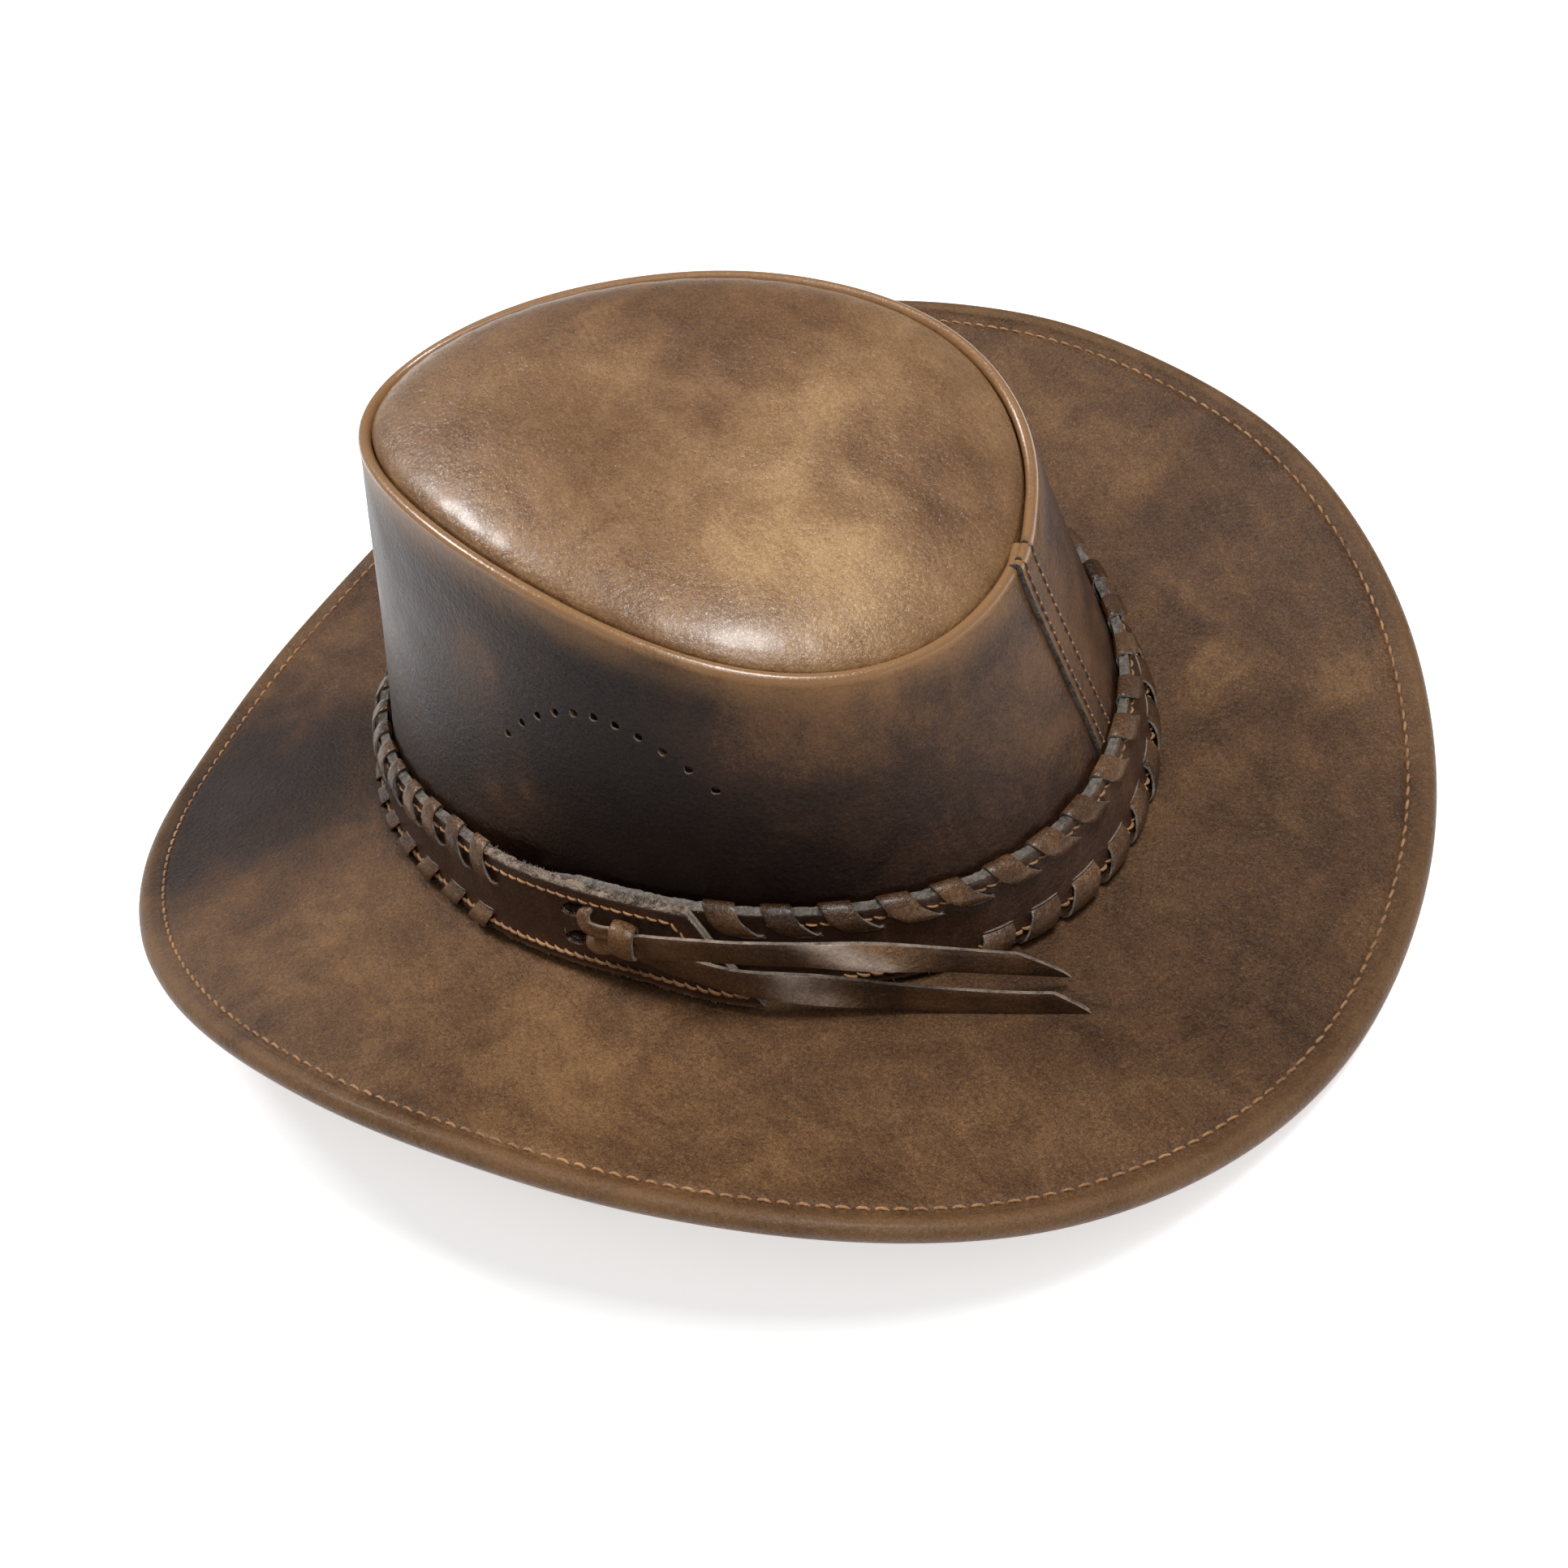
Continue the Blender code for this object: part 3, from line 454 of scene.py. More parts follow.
def make_raw_leather(name, pale, deep):
    """Cut edge or flesh side of leather: fibrous, pale and dull."""
    material, tree, shader, place = start_material(name)
    fibre = add_noise(tree, place, 1500.0, 6.0, 0.75, 1.0)
    clump = add_noise(tree, place, 260.0, 4.0, 0.6, 0.6)
    total = add_average(tree, fibre, clump)
    colour = add_ramp(tree, total, "Value", ((0.36, deep), (0.52, mix_colour(deep, pale, 0.6)),
                                             (0.66, pale)))
    link(tree, colour, "Color", shader, "Base Color")
    bump = add_bump(tree, clump.outputs["Fac"], 0.0005)
    bump = add_bump(tree, fibre.outputs["Fac"], 0.0005, bump)
    link(tree, bump, "Normal", shader, "Normal")
    set_inputs(shader, Roughness=0.9, Specular_IOR_Level=0.25)
    return material


def mix_colour(start, end, share):
    return tuple(mix(a, b, share) for a, b in zip(start, end))


def make_thread(name, dark, light):
    material, tree, shader, place = start_material(name)
    strand = add_noise(tree, place, 1700.0, 3.0, 0.6)
    shade = add_noise(tree, place, 90.0, 2.0, 0.5)
    colour = add_ramp(tree, add_average(tree, strand, shade), "Value", ((0.35, dark), (0.62, light)))
    link(tree, colour, "Color", shader, "Base Color")
    bump = add_bump(tree, strand.outputs["Fac"], 0.0003)
    link(tree, bump, "Normal", shader, "Normal")
    set_inputs(shader, Roughness=0.55, Sheen_Weight=0.3)
    return material


def make_metal(name, dark, light, roughness):
    material, tree, shader, place = start_material(name)
    scratch = add_noise(tree, place, 900.0, 5.0, 0.6)
    colour = add_ramp(tree, scratch, "Fac", ((0.3, dark), (0.7, light)))
    link(tree, colour, "Color", shader, "Base Color")
    set_inputs(shader, Metallic=1.0, Roughness=roughness)
    return material


GOLDEN = ((0.12, (0.085, 0.038, 0.016)), (0.40, (0.195, 0.096, 0.039)),
          (0.60, (0.305, 0.165, 0.070)), (0.88, (0.54, 0.33, 0.150)))
DARK_WALL = ((0.18, (0.0050, 0.0021, 0.0016)), (0.45, (0.0145, 0.0062, 0.0042)),
             (0.66, (0.048, 0.0215, 0.0115)), (0.92, (0.175, 0.085, 0.036)))
BROWN = ((0.12, (0.022, 0.0100, 0.0060)), (0.40, (0.072, 0.0340, 0.0160)),
         (0.60, (0.138, 0.068, 0.030)), (0.88, (0.290, 0.155, 0.066)))
BAND_BROWN = ((0.18, (0.016, 0.0070, 0.0050)), (0.45, (0.040, 0.0175, 0.0105)),
              (0.66, (0.072, 0.034, 0.020)), (0.92, (0.170, 0.088, 0.044)))
LACE_BROWN = ((0.14, (0.018, 0.0080, 0.0040)), (0.42, (0.050, 0.0225, 0.0095)),
              (0.64, (0.110, 0.052, 0.022)), (0.90, (0.270, 0.145, 0.068)))
# Worn colour of the crown wall and lip: real rubbing on the seam's raw edge, and on the lip partly a painted
# highlight.
WORN_EDGE_AND_LIP_SHEEN = (0.31, 0.160, 0.066)
WORN_TAN = (0.30, 0.165, 0.075)
PALE_EDGE = (0.56, 0.44, 0.35)

crown_top_skin = make_leather("crown_top_leather", GOLDEN, (0.40, 0.24, 0.11), 0.29, 0.7, 0.8, 0.55, 0.60)
wall_skin = make_leather("crown_side_leather", DARK_WALL, WORN_EDGE_AND_LIP_SHEEN, 0.36, 0.62, 0.55, 0.05, 0.20)
lip_skin = make_leather("crown_lip_leather", DARK_WALL, WORN_EDGE_AND_LIP_SHEEN, 0.25, 0.62, 0.40, 0.80, 0.55)
brim_skin = make_leather("brim_leather", BROWN, (0.20, 0.105, 0.045), 0.42, 0.72)
under_skin = make_leather("brim_underside_leather", BROWN, WORN_TAN, 0.62, 0.5, 1.2, 0.0)
sweat_skin = make_leather("sweatband_leather", GOLDEN, (0.36, 0.24, 0.14), 0.55, 0.4, 0.6, 0.0)
band_skin = make_leather("hatband_leather", BAND_BROWN, WORN_TAN, 0.34, 0.8, 0.7, 0.10, 0.30)
# The lace's worn colour is used only on the tails' bends, as a painted highlight.
lace_skin = make_leather("lace_leather", LACE_BROWN, (0.52, 0.41, 0.33), 0.29, 0.9, 0.8, 0.22, 0.36)
raw_edge = make_raw_leather("raw_leather_edge", PALE_EDGE, (0.085, 0.055, 0.040))
raw_grey = make_raw_leather("raw_leather_grey", (0.37, 0.325, 0.28), (0.050, 0.040, 0.034))
tan_thread = make_thread("tan_thread", (0.20, 0.080, 0.025), (0.60, 0.31, 0.115))
brown_thread = make_thread("brown_thread", (0.030, 0.015, 0.010), (0.10, 0.045, 0.022))
steel = make_metal("spring_steel", (0.32, 0.32, 0.33), (0.6, 0.6, 0.6), 0.3)
brass = make_metal("ferrule_brass", (0.5, 0.36, 0.14), (0.75, 0.57, 0.27), 0.35)


# ---- Mesh helpers -----------------------------------------------------------------------------
def make_piece(name, points, faces, materials, slots=None, marks=None, sharp=60.0):
    """A shaded mesh piece. marks holds lists of per-point values, by attribute name."""
    mesh = bpy.data.meshes.new(name)
    mesh.from_pydata([tuple(point) for point in points], [], faces)
    for material in materials:
        mesh.materials.append(material)
    if slots is not None:
        mesh.polygons.foreach_set("material_index", slots)
    for mark in ("tone_and_sheen", "wear_and_sheen", "crease"):
        values = (marks or {}).get(mark)
        attribute = mesh.attributes.new(mark, "FLOAT", "POINT")
        if values is not None:
            attribute.data.foreach_set("value", values)
    tidy = bmesh.new()
    tidy.from_mesh(mesh)
    bmesh.ops.recalc_face_normals(tidy, faces=tidy.faces[:])
    tidy.to_mesh(mesh)
    tidy.free()
    mesh.shade_smooth()
    mesh.set_sharp_from_angle(angle=math.radians(sharp))
    piece = bpy.data.objects.new(name, mesh)
    bpy.context.scene.collection.objects.link(piece)
    return piece


def add_skin(faces, base, size, rings, closed=False):
    """Quads between rings of size points each; an open row gets a cap at both ends."""
    for ring in range(rings if closed else rings - 1):
        low = base + ring * size
        high = base + (ring + 1) % rings * size
        for k in range(size):
            nxt = (k + 1) % size
            faces.append((low + k, low + nxt, high + nxt, high + k))
    if not closed:
        faces.append(tuple(range(base, base + size)))
        faces.append(tuple(range(base + (rings - 1) * size, base + rings * size)))


def loft(name, columns, closed, materials, slot_of=None, tone_and_sheen_of=None, wear_and_sheen_of=None, sharp=60.0,
         cap_slot=0, crease_of=None):
    """Skin over columns of equal length, each a closed section. slot_of takes a section place."""
    size = len(columns[0])
    count = len(columns)
    points = [settled(point) for column in columns for point in column]
    faces = []
    add_skin(faces, 0, size, count, closed)
    slots = [slot_of(k) if slot_of else 0 for k in range(size)] * (count if closed else count - 1)
    if not closed:
        slots += [cap_slot, cap_slot]
    marks = {}
    if tone_and_sheen_of:
        marks["tone_and_sheen"] = [tone_and_sheen_of(point) for point in points]
    if wear_and_sheen_of:
        marks["wear_and_sheen"] = [wear_and_sheen_of(c, k) for c in range(count) for k in range(size)]
    if crease_of:
        marks["crease"] = [crease_of(point) for point in points]
    return make_piece(name, points, faces, materials, slots, marks, sharp)


def finish_piece(piece, body, slot, *nodes):
    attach(piece, body)
    if nodes:
        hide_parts(*nodes)


def turns_between(start, end, step):
    count = max(2, round((end - start) / step))
    return [mix(start, end, k / count) for k in range(count + 1)]


def full_turns(count):
    return [360.0 * k / count for k in range(count)]


# ---- Stitches ---------------------------------------------------------------------------------
def run_lengths(points):
    lengths = [0.0]
    for before, after in zip(points, points[1:]):
        lengths.append(lengths[-1] + (after - before).length)
    return lengths


class Route:
    """A polyline with a normal at each point, read by distance along it."""

    def __init__(self, points, normals):
        self.points = points
        self.normals = normals
        self.lengths = run_lengths(points)
        self.length = self.lengths[-1]
        self.at = 0

    def read(self, distance):
        distance = min(max(distance, 0.0), self.length)
        while self.at < len(self.points) - 2 and self.lengths[self.at + 1] < distance:
            self.at += 1
        while self.at > 0 and self.lengths[self.at] > distance:
            self.at -= 1
        k = self.at
        share = (distance - self.lengths[k]) / max(self.lengths[k + 1] - self.lengths[k], 1e-9)
        point = self.points[k].lerp(self.points[k + 1], share)
        normal = self.normals[k].lerp(self.normals[k + 1], share).normalized()
        along = (self.points[k + 1] - self.points[k]).normalized()
        return point, normal, along


STITCH_RINGS = 8
STITCH_SIDES = 6
BEAD_LENGTH = 0.0008
HIDDEN_STITCH = (0.0035, 0.8, 0.0003)   # pitch, share of it that is thread, radius
BASE_SEAM = 0.0095            # height of the hidden seam above the crown's foot


def add_stitch(points, faces, route, start, length, radius, skew, lift):
    """One stitch: a plump strand that dives into the leather at both ends."""
    base = len(points)
    for ring in range(STITCH_RINGS):
        share = ring / (STITCH_RINGS - 1)
        point, normal, along = route.read(start + length * share)
        side = along.cross(normal).normalized()
        arch = math.sin(math.pi * mix(0.03, 0.97, share))
        plump = radius * (0.55 + 0.45 * arch ** 0.5)
        centre = point + normal * (lift + radius * (1.9 * arch ** 0.6 - 1.25))
        centre += side * (skew * (share - 0.5))
        for k in range(STITCH_SIDES):
            a = 2.0 * math.pi * k / STITCH_SIDES
            offset = side * (math.cos(a) * plump * 1.1) + normal * (math.sin(a) * plump)
            points.append(settled(centre) + offset)
    add_skin(faces, base, STITCH_SIDES, STITCH_RINGS)


def make_stitches(name, routes, pitch, share, radius, material, skew=0.0, lift=0.0, seed=1, bead=None):
    """Rows of separate stitches along routes, evenly spread, each a little off.

    bead is the material of a short dot added between one stitch and the next.
    """
    dice = random.Random(seed)
    points = []
    faces = []
    slots = []
    for route in routes:
        count = max(1, round(route.length / pitch))
        true_pitch = route.length / count
        for k in range(count):
            length = true_pitch * share * dice.uniform(0.95, 1.05)
            start = true_pitch * (k + (1.0 - share) / 2) + dice.uniform(-0.03, 0.03) * pitch
            add_stitch(points, faces, route, start, length, radius * dice.uniform(0.92, 1.08),
                       skew * dice.uniform(0.7, 1.3), lift)
            slots += [0] * (len(faces) - len(slots))
            if bead:
                add_stitch(points, faces, route, true_pitch * k - BEAD_LENGTH / 2, BEAD_LENGTH, radius * 0.8,
                           skew, 0.0)
                slots += [1] * (len(faces) - len(slots))
    return make_piece(name, points, faces, [material, bead] if bead else [material], slots, sharp=80.0)


def sew(name, node, body, slot, *stitching, **more):
    """Stitches that stand for one node."""
    finish_piece(make_stitches(name, *stitching, **more), body, slot, node)


def surface_route(turns, point_of, normal_of):
    return Route([point_of(turn) for turn in turns], [normal_of(turn) for turn in turns])


def face_normal(at_of, turn, guide):
    """Unit normal of a surface at_of(turn, push) at a turn, on the guide's side."""
    along = at_of(turn + 0.3, 0.0) - at_of(turn - 0.3, 0.0)
    across = at_of(turn, 0.0005) - at_of(turn, -0.0005)
    normal = along.cross(across).normalized()
    return normal if normal.dot(guide) > 0 else -normal


def wall_normal(turn, height):
    return face_normal(lambda t, push: wall_point(t, height + push), turn, outward(foot, turn))


def brim_normal(turn, inset):
    return face_normal(lambda t, push: brim_point(t, inset + push), turn, UP)


def band_normal(turn, level):
    return face_normal(lambda t, push: band_point(t, level + push * 40.0, BAND_FACE), turn,
                       outward(foot, turn))


# ---- Fuzz of loose fibres on cut edges --------------------------------------------------------
FIBRE_WIDTH = 0.00016


def add_fibre(points, faces, root, direction, length, dice):
    """A short bent spike with a three-sided foot."""
    direction = direction.normalized()
    side = direction.orthogonal().normalized()
    other = direction.cross(side)
    bend = (side * dice.uniform(-1, 1) + other * dice.uniform(-1, 1)) * length * 0.45
    base = len(points)
    for k in range(3):
        a = 2.0 * math.pi * k / 3 + dice.uniform(0, 1)
        round_root = side * math.cos(a) + other * math.sin(a)
        points.append(root + round_root * FIBRE_WIDTH * dice.uniform(0.5, 1.1))
    points.append(root + direction * length + bend)
    for corners in ((0, 1, 3), (1, 2, 3), (2, 0, 3), (2, 1, 0)):
        faces.append(tuple(base + k for k in corners))


def make_fuzz(name, spots, length, material, seed, body, slot):
    """Loose fibres at spots, each a place (already settled) and a direction."""
    dice = random.Random(seed)
    points = []
    faces = []
    for root, direction in spots:
        lean = Vector((dice.gauss(0, 0.5), dice.gauss(0, 0.5), dice.gauss(0, 0.5)))
        add_fibre(points, faces, root, direction + lean, length * dice.uniform(0.3, 1.0) ** 1.5, dice)
    finish_piece(make_piece(name, points, faces, [material], sharp=80.0), body, slot)


# ---- Crown top --------------------------------------------------------------------------------
def pucker(turn, share):
    """Small tucks where the panel's edge is gathered into the seam."""
    wave = math.sin(math.radians(turn) * 37) * 0.6 + math.sin(math.radians(turn) * 61 + 1.0) * 0.4
    return wave * 0.00012 * bell(share - 0.955, 0.035)


SWELL = 0.0046                # how far the finished panel swells beyond its pattern


def dent(point):
    return rough(point, 0.032, 0.0007) + rough(point, 0.012, 0.00016)


def crown_top_surface(turn, share):
    point = top_point(turn, share)
    pillow = (1.0 - share ** PILLOW_ORDER) ** PILLOW_ROUND
    point.z += SWELL * (1.0 - share ** 3) ** 0.7 - 0.2 * PILLOW * pillow
    fade = 1.0 - smooth((share - 0.85) / 0.15)
    point.z += dent(point) * fade + pucker(turn, share)
    return point


def crown_top_column(turn):
    shares = [1.0 - (1.0 - k / 34) ** 1.9 for k in range(1, 35)]
    column = [crown_top_surface(turn, share) for share in shares]
    rim = groove(turn) - outward(groove, turn) * GAP * 1.5
    height = wall_height(turn) + LIP_DROP - SEAM_DEPTH
    column.append(mix(rim, wall_point(turn, height, -2 * CROWN_LEATHER - GAP), 0.4))
    column.append(wall_point(turn, height, -2 * CROWN_LEATHER - GAP))
    column.append(wall_point(turn, height, -3 * CROWN_LEATHER - GAP))
    column.append(top_point(turn, 0.965, -1.6 * CROWN_LEATHER))
    column += [top_point(turn, share, -CROWN_LEATHER) for share in (0.9, 0.7, 0.4, 0.15)]
    return column


def make_crown_top():
    columns = [crown_top_column(turn) for turn in full_turns(240)]
    size = len(columns[0])
    points = [settled(point) for column in columns for point in column]
    crest = len(points)
    points.append(settled(crown_top_surface(0.0, 0.0)))
    points.append(settled(top_point(0.0, 0.0, -CROWN_LEATHER)))
    faces = []
    slots = []
    inside = size - 6
    for c in range(len(columns)):
        near = c * size
        far = (c + 1) % len(columns) * size
        faces.append((crest, near, far))
        faces.append((crest + 1, far + size - 1, near + size - 1))
        slots += [0, 1]
        for k in range(size - 1):
            faces.append((near + k, near + k + 1, far + k + 1, far + k))
            slots.append(1 if k >= inside else 0)
    tone_and_sheen_values = [tone_and_sheen_at(point, CROWN_TOP_TONE_AND_PAINTED_LIGHT) for point in points]
    piece = make_piece("crown_top", points, faces, [crown_top_skin, raw_edge], slots, {"tone_and_sheen": tone_and_sheen_values})
    finish_piece(piece, "hat", "crown_top_leather", "crown_top_panel")


# ---- Regions of lighter and darker leather, some of them painted sheen and shade --------------
# Each patch is a place and a radius, in millimetres, and how much lighter (or darker, below 0) it is.
# On the crown top the lighter patches are partly painted sheen, and the darker ones on the far side (x below
# 0) are painted shade; the rest are real colour patches.
CROWN_TOP_TONE_AND_PAINTED_LIGHT = (
    (-15, 26, 118, 16, 0.2), (26, 48, 113, 20, 0.2), (-14, -24, 127, 16, 0.12), (40, 20, 122, 22, 0.02),
    (10, 40, 118, 18, 0.08), (-36, 0, 124, 28, -0.24), (-12, 68, 105, 18, -0.18), (18, -16, 127, 24, -0.13),
    (-30, -36, 125, 26, -0.2), (22, -50, 129, 20, -0.06))
# On the crown wall the broad lighter patches at the back by the seam and at the front-left are partly
# painted sheen, and the broad darker ones in the middle of the near side are painted shade; the small
# lighter patches are real smudges.
WALL_TONE_AND_PAINTED_LIGHT = (
    (61, -26, 100, 12, 0.22), (75, -16, 68, 12, 0.2), (80, -30, 62, 10, 0.12), (54, 62, 97, 16, 0.26),
    (64, 46, 95, 16, 0.22), (42, 75, 94, 12, 0.1), (70, 40, 75, 30, -0.08), (82, 15, 55, 35, -0.12),
    (65, 0, 85, 22, -0.06), (30, 95, 75, 35, 0.16), (-10, 94, 70, 30, 0.22), (55, -72, 80, 30, 0.1),
    (-60, 50, 80, 40, 0.1), (-60, -50, 80, 40, 0.06))
BRIM_PATCHES = (
    (132, 10, 42, 30, 0.1), (138, 55, 43, 26, 0.06), (102, 80, 29, 24, 0.12), (95, 120, 23, 16, 0.12),
    (80, -86, 24, 22, 0.05), (118, -66, 35, 26, 0.1), (128, -28, 42, 18, 0.08), (50, -134, 14, 40, -0.42),
    (75, -150, 16, 34, -0.34), (16, 122, 12, 26, 0.02), (101, 40, 28, 20, 0.02), (-14, 150, 10, 30, 0.02),
    (-52, 117, 15, 11, 0.26), (-60, 146, 14, 10, 0.14), (-114, 70, 33, 16, 0.16), (-79, 105, 21, 10, 0.16),
    (-98, 96, 26, 18, -0.12), (-120, 20, 36, 30, 0.04), (-110, -70, 32, 30, 0.12), (0, -140, 12, 30, 0.06),
    (-60, -120, 20, 30, -0.08))
BAND_PATCHES = ((0, 110, 25, 40, 0.1), (60, 90, 30, 22, 0.06), (88, 0, 40, 20, -0.04))
BRIM_CREASES = (
    (85, 128, 20, 16, 0.6), (60, 150, 14, 18, 0.8), (30, 160, 10, 14, 0.5), (-4, 132, 10, 10, 0.3))
PATCH_WANDER = 0.009          # how far the edge of a patch strays from round


def tone_and_sheen_at(point, patches):
    """Sum of soft patches at a point, their outlines frayed by noise."""
    point = point + noise.noise_vector(point / 0.014) * PATCH_WANDER
    total = 0.0
    for x, y, z, radius, strength in patches:
        away = (point - Vector((x, y, z)) / 1000.0).length / radius * 1000.0
        if away < 2.5:
            total += strength * math.exp(-away * away)
    return total


# ---- Crown wall -------------------------------------------------------------------------------
WALL_ROWS = 30
LIP_ROWS = 12


def wall_lift(turn):
    """How proud the wall's outer face stands: the seam's over-layer rises, its under-layer sinks."""
    if turn > 180.0:
        return SEAM_STEP * smooth((turn - 360.0 - SEAM_RAMP_TURN) / (SEAM_TURN - SEAM_RAMP_TURN))
    return -0.0010 * smooth((SEAM_TURN - turn) / (SEAM_TURN - SEAM_UNDER_TURN))


def wall_column(turn):
    lift = wall_lift(turn)
    column = []
    for row in range(WALL_ROWS):
        height = mix(0.0008, wall_height(turn), row / WALL_ROWS)
        rise = smooth((height - 0.024) / 0.004)
        column.append(wall_point(turn, height, lift * rise))
    out = outward(groove, turn)
    rim = groove(turn)
    half = LIP_REACH / 2 + rough(rim, 0.02, 0.00012)
    middle = rim + out * (LIP_REACH / 2 + lift) - UP * 0.0006
    for row in range(LIP_ROWS):
        a = math.radians(mix(-12.0, 200.0, row / (LIP_ROWS - 1)))
        column.append(middle + out * (half * math.cos(a)) + UP * ((0.0020 + lift * 0.5) * math.sin(a)))
    column.append(rim - UP * 0.0030 + out * 0.0002)
    low = wall_height(turn) + LIP_DROP - SEAM_DEPTH
    column.append(wall_point(turn, low, -2 * CROWN_LEATHER))
    column.append(wall_point(turn, low, -CROWN_LEATHER))
    for row in range(9):
        height = mix(low, 0.0008, row / 8)
        column.append(wall_point(turn, height, -CROWN_LEATHER + min(lift, 0.0)))
    return column


def make_vent_cutter():
    points = []
    faces = []
    slots = []
    sides = 14
    for side in (1.0, -1.0):
        for k in range(VENT_COUNT):
            share = 2.0 * k / (VENT_COUNT - 1) - 1.0
            y = VENT_MIDDLE_Y + VENT_HALF_SPAN * share
            height = VENT_TOP - VENT_RISE * share ** 2
            turn = turn_at(y)
            for _ in range(4):
                turn += math.degrees((wall_point(turn, height).y - y) / FOOT_HALF_LENGTH)
            point = wall_point(turn, height)
            centre = settled(Vector((point.x * side, point.y, point.z)))
            normal = wall_normal(turn, height)
            normal.x *= side
            add_plug(points, faces, slots, centre, normal, sides, VENT_RADIUS, 0.004)
    return make_piece("vent_cutter", points, faces, [raw_edge, wall_skin], slots)


def add_plug(points, faces, slots, centre, normal, sides, radius, reach):
    """A prism across a skin for cutting a hole, raw near the skin's face and dark deeper in: the dark wall
    leather there is painted shade inside the hole.
    """
    up = (UP - normal * UP.dot(normal)).normalized()
    side = normal.cross(up)
    base = len(points)
    for end in (-reach, -0.0005, reach):
        for k in range(sides):
            a = 2.0 * math.pi * k / sides
            ragged = 1.0 + 0.08 * math.sin(3.0 * a + centre.y * 900)
            spoke = up * math.sin(a) + side * math.cos(a)
            points.append(centre + normal * end + spoke * (radius * ragged))
    add_skin(faces, base, sides, 3)
    slots += [1] * sides + [0] * sides + [1, 0]


def carve(piece, cutter):
    """Cuts the cutter out of the piece for good, then removes the cutter."""
    modifier = piece.modifiers.new("cut", "BOOLEAN")
    modifier.operation = "DIFFERENCE"
    modifier.solver = "EXACT"
    modifier.material_mode = "TRANSFER"
    modifier.object = cutter
    graph = bpy.context.evaluated_depsgraph_get()
    carved = bpy.data.meshes.new_from_object(piece.evaluated_get(graph), depsgraph=graph)
    piece.modifiers.clear()
    carved.set_sharp_from_angle(angle=math.radians(35.0))
    piece.data = carved
    bpy.data.objects.remove(cutter)


def make_crown_wall():
    turns = turns_between(SEAM_UNDER_TURN, 348.0, 1.5) + turns_between(349.0, 360.0 + SEAM_TURN, 0.6)
    columns = [wall_column(turn) for turn in turns]
    lip_start = WALL_ROWS - 3
    lip_end = WALL_ROWS + LIP_ROWS

    def slot_of(k):
        if k > lip_end:
            return 1
        return 3 if k > WALL_ROWS + 1 else 0

    def wear_and_sheen_of(c, k):
        if k > lip_end:
            return 0.0
        # The lip's pale worn colour is partly real rubbing and partly a painted highlight along the lip.
        lip = smooth((k - lip_start) / 6.0) * 1.5
        edge = 0.5 * bell(turns[c] - 360.0 - SEAM_TURN, 0.5)
        return lip + edge

    piece = loft("crown_wall", columns, False, [wall_skin, raw_edge, raw_grey, lip_skin], slot_of,
                 lambda point: tone_and_sheen_at(point, WALL_TONE_AND_PAINTED_LIGHT), wear_and_sheen_of, cap_slot=2)
    carve(piece, make_vent_cutter())
    finish_piece(piece, "hat", "crown_side_leather", "crown_side_panel")


def seam_route(row_turn):
    """Up the wall beside the raw edge, then over the lip to the groove."""
    points = []
    normals = []
    column_turn = 360.0 + row_turn
    column = wall_column(column_turn)
    first = next(k for k in range(WALL_ROWS)
                 if mix(0.0008, wall_height(column_turn), k / WALL_ROWS) > SEAM_STITCH_LOW)
    chosen = column[first:WALL_ROWS + LIP_ROWS - 3]
    for k, point in enumerate(chosen):
        before = chosen[max(k - 1, 0)]
        after = chosen[min(k + 1, len(chosen) - 1)]
        tangent = (after - before).normalized()
        level = Vector((0.0, 1.0, 0.0))
        normal = (level - tangent * level.dot(tangent)).normalized()
        if abs(tangent.z) < 0.5 or normal.dot(UP) < 0 and tangent.z < 0:
            normal = (UP - tangent * UP.dot(tangent)).normalized()
        points.append(point)
        normals.append(normal)
    return Route(points, normals)


def make_seam_stitches():
    rows = (("back_seam_stitches_edge", "back_seam_thread_edge"),
            ("back_seam_stitches_inner", "back_seam_thread_inner"))
    for (name, node), row_turn in zip(rows, SEAM_ROW_TURNS):
        sew(name, node, "hat", "brown_thread", [seam_route(row_turn)], 0.0031, 0.74, 0.00036,
            brown_thread, 0.0002, 0.0, 7, tan_thread)
    top = surface_route(full_turns(240) + [360.0], top_seam_point, lambda turn: -outward(foot, turn))
    base = surface_route(turns_between(12.0, 348.0, 1.5), lambda turn: wall_point(turn, BASE_SEAM),
                         lambda turn: wall_normal(turn, BASE_SEAM))
    for side, route in (("top", top), ("base", base)):
        sew(f"crown_{side}_seam_stitches", f"crown_{side}_seam_thread", "hat", "brown_thread",
            [route], *HIDDEN_STITCH, brown_thread)


def make_seam_fuzz():
    """Fibres along the over-layer's raw edge, up the wall and over the lip."""
    dice = random.Random(31)
    column = wall_column(360.0 + SEAM_TURN)
    under = wall_column(SEAM_TURN)
    first = next(k for k, point in enumerate(column) if point.z > foot(0.0).z + 0.024)
    last = WALL_ROWS + LIP_ROWS - 3
    spots = []
    for _ in range(1100):
        place = dice.uniform(first, last)
        k = int(place)
        outer = column[k].lerp(column[k + 1], place - k)
        inner = under[k].lerp(under[k + 1], place - k)
        deep = dice.uniform(0.0, 0.9)
        spots.append((settled(outer.lerp(inner, deep)), Vector((1.0, 0.25, 0.05))))
    make_fuzz("back_seam_fuzz", spots, 0.00065, raw_grey, 32, "hat", "crown_side_leather")


def top_seam_point(turn):
    height = wall_height(turn) + LIP_DROP - SEAM_DEPTH
    inner = wall_point(turn, height, -3 * CROWN_LEATHER - GAP)
    return mix(top_point(turn, 0.965, -1.6 * CROWN_LEATHER), inner, 0.55)


